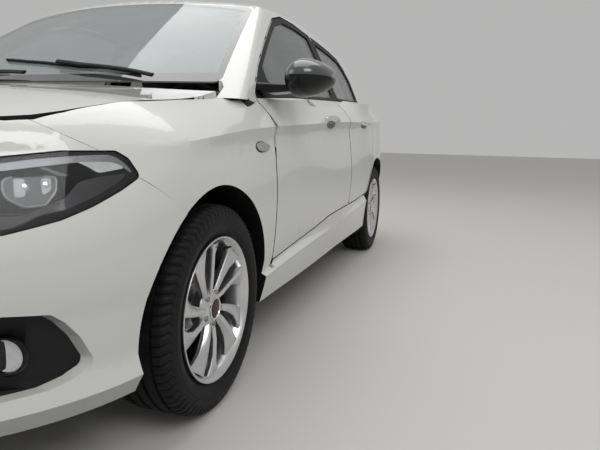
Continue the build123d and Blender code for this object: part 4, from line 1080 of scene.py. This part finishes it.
@dataclass
class BodyPanels:
    """Painted panels, each a smooth copy of its CAD node, black in its gaps (painted shade in the shut
    lines, the dark seal where a panel meets glass), black inside the wheel arches as painted shade, and
    trimmed inside.
    """

    paints: Paints
    gap: float = 0.06
    axles: tuple[Pair, ...] = ((-1.267, 0.316), (1.371, 0.316))
    arch_reach: float = 0.40
    arch_top: float = 0.76
    arch_facing: float = 0.72
    upright: float = 0.55
    lift: float = 0.0008
    sight: float = 3.0
    looks: int = 8
    waist: tuple[Pair, ...] = (
        (-0.95, 0.957), (-0.84, 0.9665), (-0.20, 1.0125), (0.60, 1.0515), (1.25, 1.0695),
    )
    see_past: tuple[str, ...] = ("alloy", "tyre_rubber", "mirror_shell", "cast_steel")

    def waist_height(self, y: float) -> float:
        """Finds the height of the door skins' upper edge.

        Args:
            y: place along the car.

        Returns:
            The height there.
        """
        for (y0, z0), (y1, z1) in zip(self.waist, self.waist[1:]):
            if y <= y1:
                return z0 + (z1 - z0) * max(0.0, y - y0) / (y1 - y0)
        return self.waist[-1][1]

    def nearest(self, tree: BVHTree, centre: Vector, way: Vector) -> float | None:
        """How far it is to what faces a place, looking straight out and aslant.

        Args:
            tree: what can lie in front.
            centre: the place.
            way: its outward direction.

        Returns:
            The distance straight out, or None where one of the looks gets clear.
        """
        start = centre + way * self.lift
        straight = tree.ray_cast(start, way, self.sight)[3]
        if straight is None:
            return None
        across = way.orthogonal().normalized()
        for k in range(self.looks):
            lean = Matrix.Rotation(math.radians(360.0 / self.looks * k), 3, way) @ across
            if tree.ray_cast(start, (way + lean).normalized(), self.sight)[3] is None:
                return None
        return straight

    def in_arch(self, centre: Vector, way: Vector) -> bool:
        """Whether a face lies on a wheel arch's inner side.

        Args:
            centre: the face's middle.
            way: its outward direction.

        Returns:
            True for a face near an axle that is turned towards it.
        """
        for y, z in self.axles:
            back = Vector((0.0, y - centre.y, z - centre.z))
            near = back.length < self.arch_reach and centre.z < self.arch_top
            if near and way.dot(back.normalized()) > self.arch_facing:
                return True
        return False

    def split_at_waist(self, bm: Mesh) -> None:
        """Cuts a door's faces along the waist line, so that its dark frame starts on a clean edge.

        Args:
            bm: the door's mesh.
        """
        for (y0, z0), (y1, z1) in zip(self.waist, self.waist[1:]):
            faces = [f for f in bm.faces if any(y0 - 0.002 < v.co.y < y1 + 0.002 for v in f.verts)]
            edges = {e for f in faces for e in f.edges}
            verts = {v for f in faces for v in f.verts}
            bmesh.ops.bisect_plane(bm, geom=faces + list(edges) + list(verts), dist=JOIN,
                                   plane_co=(0, y0, z0),
                                   plane_no=Vector((0, z0 - z1, y1 - y0)).normalized())

    def panel(self, node: str, tree: BVHTree) -> None:
        """Builds one panel.

        Args:
            node: its CAD node.
            tree: what can lie in front of a face.
        """
        bm = cad_mesh(node)
        door = "door" in node
        if door:
            self.split_at_waist(bm)
        painted, dark, trimmed = range(3)
        for face in bm.faces:
            centre, way = face.calc_center_median(), face.normal
            hit = self.nearest(tree, centre, way)
            # Faces inside a wheel arch, and faces that another part fronts closer than the gap, get black
            # trim: painted shade in shut lines and arches, the dark seal where a panel meets glass.
            if self.in_arch(centre, way):
                face.material_index = dark
            elif hit is None:
                over = door and centre.z > self.waist_height(centre.y) and abs(way.x) > self.upright
                face.material_index = dark if over else painted
            else:
                face.material_index = dark if hit < self.gap else trimmed
        smooth_by_angle(bm, 28.0)
        inside = self.paints.lining if node == "roof_panel" else self.paints.dash
        piece = dressed(bm, node + "_skin", self.paints.body, NODE_BODY[node])
        piece.data.materials.append(self.paints.black)
        piece.data.materials.append(inside)
        weighted = piece.modifiers.new("weighted", "WEIGHTED_NORMAL")
        weighted.keep_sharp = True
        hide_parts(node)

    def build(self) -> None:
        """Makes every painted panel."""
        tree = search_tree([node for node, slot in NODE_SLOT.items() if slot not in self.see_past])
        for node, slot in NODE_SLOT.items():
            if slot == "body_paint":
                self.panel(node, tree)


@dataclass
class Mirror:
    """Door mirror: grey gloss upper shell, black lower shell and arm, silvered glass."""

    side: Side
    paints: Paints
    seam_height: float = 1.047
    glass_y: float = -0.703
    arm_end: float = 0.895
    squash_from: float = 0.93
    squash_run: float = 0.13
    upper_keep: Pair = (0.92, 0.34)
    lower_loss: float = 0.22
    glass_line: tuple[Pair, ...] = (
        (0.915, 1.010), (1.045, 1.022), (1.045, 1.085), (1.000, 1.108), (0.925, 1.104), (0.910, 1.060),
    )

    def squashed(self, bm: Mesh) -> None:
        """Flattens the shells towards their outer end.

        Args:
            bm: the shells' mesh.
        """
        for vert in bm.verts:
            rise = vert.co.z - self.seam_height
            run = (abs(vert.co.x) - self.squash_from) / self.squash_run
            if rise > 0.0:
                keep = self.upper_keep[0] - self.upper_keep[1] * max(0.0, min(1.0, run)) ** 1.5
                vert.co.z = self.seam_height + rise * keep
            elif run > 0.0:
                vert.co.z = self.seam_height + rise * (1.0 - self.lower_loss * min(1.0, run))

    def shells(self, node: str) -> None:
        """Builds both shells and the arm from the CAD form, cut along the shells' seam.

        Args:
            node: the mirror's CAD node.
        """
        bm = cad_mesh(node)
        geom = bm.verts[:] + bm.edges[:] + bm.faces[:]
        bmesh.ops.bisect_plane(bm, geom=geom, dist=JOIN, plane_co=(0, 0, self.seam_height),
                               plane_no=(0, 0, 1))
        self.squashed(bm)
        for face in bm.faces:
            centre = face.calc_center_median()
            upper = centre.z > self.seam_height and abs(centre.x) > self.arm_end
            face.material_index = 1 if upper else 0
        smooth_by_angle(bm, 30.0)
        piece = dressed(bm, node + "_shells", self.paints.gloss_black, NODE_BODY[node])
        piece.data.materials.append(self.paints.mirror_grey)
        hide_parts(node)

    def build(self) -> None:
        """Makes the shells and the glass."""
        node = "door_mirror_" + self.side.word
        self.shells(node)
        bm = bmesh.new()
        outline = rounded(self.glass_line, 0.03, 5)
        bm.faces.new([bm.verts.new((self.side.value * x, self.glass_y, z)) for x, z in outline])
        made = bmesh.ops.extrude_face_region(bm, geom=bm.faces[:])
        moved = [v for v in made["geom"] if isinstance(v, bmesh.types.BMVert)]
        bmesh.ops.translate(bm, verts=moved, vec=(0, 0.004, 0))
        bmesh.ops.recalc_face_normals(bm, faces=bm.faces)
        smooth_by_angle(bm, 30.0)
        name = f"mirror_glass_{self.side.word}"
        dressed(bm, name, self.paints.silvered, NODE_BODY[node])


@dataclass
class Headlamp:
    """Headlamp behind its clear lens: black mask, bright upper blade, projector in its pale frame.

    Outlines are drawn in the lamp's oblique view: a place in it is (along, up) in metres. All pieces
    lie between the lens and its housing, a little over 5 mm behind the lens's outer face.
    """

    side: Side
    paints: Paints
    run: Pair = (0.768, 0.640)
    thick: float = 0.0002
    blade: tuple[Pair, ...] = (
        (-0.860, 0.756), (-0.760, 0.762), (-0.671, 0.768), (-0.611, 0.776), (-0.528, 0.783),
        (-0.463, 0.785), (-0.444, 0.778), (-0.425, 0.763), (-0.411, 0.746), (-0.416, 0.744),
        (-0.438, 0.762), (-0.459, 0.769), (-0.510, 0.770), (-0.548, 0.767), (-0.611, 0.760),
        (-0.671, 0.753), (-0.760, 0.745), (-0.860, 0.737),
    )
    wedge: tuple[Pair, ...] = (
        (-0.529, 0.7695), (-0.510, 0.7700), (-0.459, 0.7690), (-0.438, 0.7620), (-0.428, 0.7545),
        (-0.483, 0.7455), (-0.491, 0.7485), (-0.504, 0.7575), (-0.517, 0.7645),
    )
    frame_line: tuple[Pair, ...] = (
        (-0.657, 0.740), (-0.669, 0.735), (-0.670, 0.717), (-0.663, 0.699), (-0.630, 0.681),
        (-0.592, 0.683), (-0.572, 0.709), (-0.570, 0.735), (-0.575, 0.740), (-0.588, 0.741),
    )
    fin: tuple[Pair, ...] = (
        (-0.603, 0.757), (-0.585, 0.7515), (-0.567, 0.741), (-0.541, 0.742), (-0.562, 0.7475),
        (-0.583, 0.757), (-0.594, 0.7605),
    )
    block: tuple[Pair, ...] = (
        (-0.527, 0.728), (-0.491, 0.736), (-0.424, 0.743), (-0.440, 0.726), (-0.490, 0.698),
        (-0.565, 0.668), (-0.572, 0.676),
    )
    domes: tuple[Pair, ...] = ((-0.633, 0.713), (-0.594, 0.716))
    # bright plates just in front of the projector's domed lenses: painted reflections
    windows: tuple[tuple[Pair, ...], ...] = (
        ((-0.650, 0.738), (-0.629, 0.737), (-0.628, 0.702), (-0.648, 0.700)),
        ((-0.600, 0.738), (-0.580, 0.738), (-0.581, 0.712), (-0.597, 0.703)),
    )

    def __post_init__(self) -> None:
        """Finds the lens that the pieces lie behind, and the lamp's view."""
        along, ahead = self.run
        self.skin = Skin("headlamp_lenses")
        self.across = Vector((self.side.value * along, ahead, 0.0))
        self.out = Vector((self.side.value * ahead, -along, 0.0))

    def spot(self, u: float, v: float, depth: float) -> Vector:
        """Finds a place behind the lens.

        Args:
            u: along the lamp.
            v: height.
            depth: distance behind the lens's outer face.

        Returns:
            The place.
        """
        base = self.across * u + Vector((0, 0, v))
        for lift in (0.0, -0.004, 0.004, -0.008, 0.008, -0.014, 0.014):
            found = self.skin.cast(base + Vector((0, 0, lift)) + self.out * 4.0, -self.out)
            if found:
                place = found[0] - self.out * depth
                return Vector((place.x, place.y, v))
        place = self.skin.tree.find_nearest(base + self.out * 1.9)[0]
        return Vector((place.x, place.y, v)) - self.out * depth

    def finished(self, bm: Mesh, name: str, material: Material) -> None:
        """Makes a mesh one piece of the lamp."""
        dressed(bm, f"lamp_{name}_{self.side.word}", material, "car_body")

    def plate(self, name: str, outline: Outline, depth: float, material: Material) -> None:
        """Builds a plate behind the lens.

        Args:
            name: its name in the lamp.
            outline: its outline in the lamp's own view.
            depth: how far it lies behind the lens.
            material: its finish.
        """
        sheet = Sheet(0.018, rounds=4, grid=False, thick=self.thick)
        bm = sheet.laid(rounded(outline, 0.006, 2), lambda u, v: self.spot(u, v, depth))
        self.finished(bm, name, material)

    def projector(self) -> None:
        """Builds the projector: pale frame, dark bowl, domed lenses and two bright plates in front of them
        as painted reflections.
        """
        ring = [(self.spot(u, v, 0.0058), self.out) for u, v in rounded(self.frame_line, 0.006, 3)]
        self.finished(bead(ring, 0.0042, 0.0014), "projector_frame", self.paints.satin)
        self.plate("projector_bowl", self.frame_line, 0.0055, self.paints.smoke)
        turn = self.out.to_track_quat("Z", "Y").to_matrix().to_4x4()
        for k, (u, v) in enumerate(self.domes):
            bm = bmesh.new()
            bmesh.ops.create_uvsphere(bm, u_segments=28, v_segments=14, radius=0.0165)
            bmesh.ops.scale(bm, vec=(1.0, 1.0, 0.5), verts=bm.verts)
            bm.transform(Matrix.Translation(self.spot(u, v, 0.0146)) @ turn)
            for face in bm.faces:
                face.smooth = True
            self.finished(bm, f"projector_lens_{k + 1}", self.paints.chrome)
        # the bright plates in front of the domed lenses are painted reflections
        for k, corners in enumerate(self.windows):
            self.plate(f"projector_window_{k + 1}", corners, 0.0052, self.paints.satin)

    def build(self) -> None:
        """Makes the lamp's inside."""
        self.plate("blade", self.blade, 0.0053, self.paints.satin)
        self.plate("wedge", self.wedge, 0.0051, self.paints.reflector)
        self.plate("fin", self.fin, 0.0052, self.paints.smoke)
        self.plate("block", self.block, 0.0054, self.paints.smoke)
        self.projector()


@dataclass
class Handle:
    """Bright door handle over a flat gloss black oval that paints the shade of its cup, between two places
    along a door.
    """

    side: Side
    place: str
    paints: Paints
    front: float
    rear: float
    height: float
    cup_share: float = 0.72
    cup_tall: float = 0.021
    cup_shift: Pair = (-0.01, -0.014)
    bar_rise: float = 0.006
    bar_places: int = 14
    stand_off: Pair = (0.008, 0.022)

    def build(self) -> None:
        """Builds the cup's painted shade and the bowed bar."""
        node = f"{self.place}_door_{self.side.word}"
        name = f"{self.place}_{self.side.word}"
        skin = Skin(node)
        middle, half = (self.front + self.rear) / 2, (self.rear - self.front) / 2
        y, z = middle + self.cup_shift[0], self.height + self.cup_shift[1]
        # the cup is no hollow but a flat black oval laid on the door, set low under the bar: painted shade
        outline = oval(28, lambda cosine, sine: (y + half * self.cup_share * cosine,
                                                 z + self.cup_tall * sine))
        cup = patch(skin, self.side, outline, 0.0006, 0.0004, 0.012)
        dressed(cup, "handle_cup_" + name, self.paints.gloss_black, node)
        line = []
        ends, bow = self.stand_off
        for k in range(self.bar_places + 1):
            t = k / self.bar_places
            along = self.front + (self.rear - self.front) * t
            place, normal = skin.beside(self.side, along, self.height + self.bar_rise * t)
            line.append((place + normal * (ends + bow * math.sin(math.pi * t) ** 0.5), normal))
        bar = bead(line, 0.024, 0.013, sides=14)
        dressed(bar, "handle_bar_" + name, self.paints.chrome, node)


@dataclass
class WaistSeals:
    """Dark seals under the door windows; their lines are places (Y, Z) in the side view."""

    side: Side
    paints: Paints
    front_line: tuple[Pair, ...] = (
        (-0.775, 0.985), (-0.60, 0.993), (-0.20, 1.0145), (0.20, 1.034), (0.455, 1.0455),
    )
    rear_line: tuple[Pair, ...] = ((0.474, 1.0465), (0.80, 1.060), (1.165, 1.071))

    def build(self) -> None:
        """Lays one seal along each door."""
        for place, line in (("front", self.front_line), ("rear", self.rear_line)):
            node = f"{place}_door_{self.side.word}"
            skin = Skin(node)
            points = [skin.beside(self.side, p[0], p[1]) for p in divided(line, 0.05)]
            dressed(bead(points, 0.013, 0.007), "seal_" + node, self.paints.black, node)


@dataclass
class Wipers:
    """Parked wipers on the windscreen and the washer jets; lines are in plan."""

    paints: Paints
    blades: tuple[tuple[Pair, ...], ...] = (
        ((0.44, -1.004), (0.301, -1.001), (0.193, -1.011), (0.101, -1.004), (-0.066, -0.979),
         (-0.190, -0.950)),
        ((-0.10, -1.042), (-0.25, -1.036), (-0.40, -1.010), (-0.52, -0.975), (-0.60, -0.945)),
    )
    arms: tuple[tuple[Pair, ...], ...] = (
        ((0.50, -1.020), (0.38, -1.017), (0.22, -1.019), (0.10, -1.006)),
        ((0.02, -1.080), (-0.12, -1.066), (-0.25, -1.046), (-0.33, -1.028)),
    )
    jet: Pair = (0.235, -1.185)

    def line(self, skin: Skin, points: Outline, lift: float) -> list[Surface]:
        """Follows the glass under a line in plan.

        Args:
            skin: the glass.
            points: the line's corners in plan.
            lift: height over the glass.

        Returns:
            Places and normals.
        """
        hits = [skin.cast((p[0], p[1], 2.0), (0, 0, -1)) for p in divided(points, 0.03)]
        return [(hit[0] + hit[1] * lift, hit[1]) for hit in hits if hit]

    def build(self) -> None:
        """Builds blades, arms and jets."""
        glass = Skin("windscreen", "scuttle", "bonnet")
        for k, (blade, arm) in enumerate(zip(self.blades, self.arms)):
            rubber = bead(self.line(glass, blade, 0.006), 0.009, 0.012)
            dressed(rubber, f"wiper_blade_{k + 1}", self.paints.black, "car_body")
            bow = bead(self.line(glass, arm, 0.020), 0.020, 0.011, sides=12)
            dressed(bow, f"wiper_arm_{k + 1}", self.paints.black, "car_body")
        for side in Side:
            found = glass.cast((side.value * self.jet[0], self.jet[1], 2.0), (0, 0, -1))
            if found:
                bm = bmesh.new()
                bmesh.ops.create_uvsphere(bm, u_segments=20, v_segments=10, radius=0.014)
                bmesh.ops.scale(bm, vec=(1.2, 0.8, 0.5), verts=bm.verts)
                bm.transform(Matrix.Translation(found[0] + Vector((0, 0, 0.001))))
                smooth_by_angle(bm, 60.0)
                dressed(bm, "washer_jet_" + side.word, self.paints.black, "bonnet")


@dataclass
class FogLamp:
    """Small round lamp in the bumper's dark recess, with its lip.

    A profile's places are shares of the lamp's radius and heights over its seat.
    """

    side: Side
    paints: Paints
    centre: Point = (0.688, -1.897, 0.378)
    radius: float = 0.036
    toe: float = 0.35
    bezel: tuple[Pair, ...] = ((1.25, 0.000), (1.25, 0.006), (1.12, 0.012), (1.0, 0.010), (0.98, 0.002))
    reflector: tuple[Pair, ...] = ((0.98, 0.003), (0.80, 0.001), (0.35, 0.0005), (0.02, 0.0005))
    lens: tuple[Pair, ...] = ((1.0, 0.008), (0.85, 0.0125), (0.5, 0.0155), (0.02, 0.0165))

    def build(self) -> None:
        """Builds bezel, reflector and lens."""
        skin = Skin("fog_lamps", "front_bumper")
        sign = self.side.value
        aim = Vector((-sign * self.toe, 1.0, 0.0)).normalized()
        start = Vector((sign * self.centre[0], self.centre[1], self.centre[2])) - aim
        found = skin.cast(start, aim)
        if not found:
            log.warning("no seat for the fog lamp %s", self.side.word)
            return
        out = -aim
        turn = Matrix.Translation(found[0]) @ out.to_track_quat("Z", "Y").to_matrix().to_4x4()
        pieces = (
            ("bezel", self.bezel, self.paints.gloss_black),
            ("reflector", self.reflector, self.paints.reflector),
            ("lens", self.lens, self.paints.lens),
        )
        for name, rows, material in pieces:
            bm = spun([(self.radius * r, 0.0, h) for r, h in rows], (0, 0, 1), 48, False)
            bm.transform(turn)
            bmesh.ops.recalc_face_normals(bm, faces=bm.faces)
            smooth_by_angle(bm, 40.0)
            dressed(bm, f"fog_{name}_{self.side.word}", material, "car_body")


@dataclass
class Repeater:
    """Side repeater lamp on the front wing: clear pod in a thin dark seal."""

    side: Side
    paints: Paints
    centre: Pair = (-0.920, 0.796)

    def build(self) -> None:
        """Lays the seal and the pod."""
        skin = Skin("front_wing_" + self.side.word)
        y, z = self.centre
        pieces = (
            ("seal", self.paints.black, 0.058, 0.0185, 0.001),
            ("pod", self.paints.repeater, 0.053, 0.0155, 0.005),
        )
        for name, material, half, tall, lift in pieces:
            outline = oval(32, lambda cosine, sine: (y + half * cosine,
                                                     z + tall * sine * (1.0 - 0.25 * cosine)))
            bm = patch(skin, self.side, outline, lift, lift + 0.0005, 0.01)
            dressed(bm, f"repeater_{name}_{self.side.word}", material, "car_body")


@dataclass
class Seats:
    """Padded seats, each grown from its CAD form by a short cloth simulation."""

    paints: Paints
    shrink: float = 0.004
    voxel: float = 0.011
    pressure: float = 4.0
    last_frame: int = 14
    cap: float = 0.012

    def shrunk(self, node: str) -> Mesh:
        """Copies a CAD node a little smaller, to leave room for the padding.

        Args:
            node: the CAD node.

        Returns:
            The smaller form.
        """
        bm = cad_mesh(node)
        bmesh.ops.recalc_face_normals(bm, faces=bm.faces)
        for vert in bm.verts:
            vert.normal_update()
        for vert, shift in [(v, v.normal * -self.shrink) for v in bm.verts]:
            vert.co += shift
        return bm

    def inflated(self, piece: bpy.types.Object) -> None:
        """Swells a piece by cloth pressure, and holds each point near its start.

        Args:
            piece: the piece; it is changed.
        """
        rest = [v.co.copy() for v in piece.data.vertices]
        cloth = piece.modifiers.new("cloth", "CLOTH")
        cloth.settings.use_pressure = True
        cloth.settings.uniform_pressure_force = self.pressure
        cloth.settings.effector_weights.gravity = 0.0
        cloth.settings.quality = 4
        for k in range(1, self.last_frame + 1):
            bpy.context.scene.frame_set(k)
        self.apply(piece)
        bpy.context.scene.frame_set(1)
        for vert, start in zip(piece.data.vertices, rest):
            move = vert.co - start
            if move.length > self.cap:
                vert.co = start + move * (self.cap / move.length)

    def apply(self, piece: bpy.types.Object) -> None:
        """Makes the piece's modifiers part of its mesh.

        Args:
            piece: the piece; it is changed.
        """
        graph = bpy.context.evaluated_depsgraph_get()
        mesh = bpy.data.meshes.new_from_object(piece.evaluated_get(graph))
        old = piece.data
        piece.modifiers.clear()
        piece.data = mesh
        bpy.data.meshes.remove(old)

    def cushion(self, node: str) -> None:
        """Pads one node's seats.

        Args:
            node: the CAD node.
        """
        bm = self.shrunk(node)
        piece = dressed(bm, node + "_padding", self.paints.cloth, NODE_BODY[node])
        remesh = piece.modifiers.new("remesh", "REMESH")
        remesh.mode = "VOXEL"
        remesh.voxel_size = self.voxel
        self.apply(piece)
        self.inflated(piece)
        for face in piece.data.polygons:
            face.use_smooth = True
        smooth = piece.modifiers.new("smooth", "SUBSURF")
        smooth.levels = smooth.render_levels = 1
        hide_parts(node)

    def build(self) -> None:
        """Pads the front seats and the bench."""
        self.cushion("front_seats")
        self.cushion("rear_bench")


@dataclass
class CarriedNodes:
    """CAD nodes that keep their shape and get their finish."""

    paints: Paints

    def build(self) -> None:
        """Gives each such node its material, by its slot or by its own name."""
        by_slot = {
            "black_plastic": self.paints.black, "window_glass": self.paints.glass,
            "lamp_clear": self.paints.lens, "lamp_red": self.paints.red, "cast_steel": self.paints.cast,
            "engine_metal": self.paints.engine, "exhaust_steel": self.paints.steel,
            "floor_paint": self.paints.floor, "tank_plastic": self.paints.tank,
        }
        by_name = {
            "arch_liners": self.paints.liner, "dashboard": self.paints.dash,
            "steering_wheel": self.paints.dash, "windscreen": self.paints.screen,
        }
        for node, slot in NODE_SLOT.items():
            if slot in by_slot:
                for place in frame["nodes"][node].material_slots:
                    place.material = by_name.get(node, by_slot[slot])


def main() -> None:
    """Builds the car's looks."""
    logging.basicConfig(level=logging.INFO, format="%(name)s %(message)s")
    paints = Paints()
    BodyPanels(paints).build()
    CarriedNodes(paints).build()
    for place in ("front", "rear"):
        for side in Side:
            Wheel(place, side, paints).build()
    for side in Side:
        Headlamp(side, paints).build()
        FogLamp(side, paints).build()
        Mirror(side, paints).build()
        Repeater(side, paints).build()
        WaistSeals(side, paints).build()
        Handle(side, "front", paints, -0.12, 0.145, 0.912).build()
        Handle(side, "rear", paints, 0.70, 0.93, 0.928).build()
    Wipers(paints).build()
    Seats(paints).build()
    Studio().build()


if __name__ == "__main__":
    main()
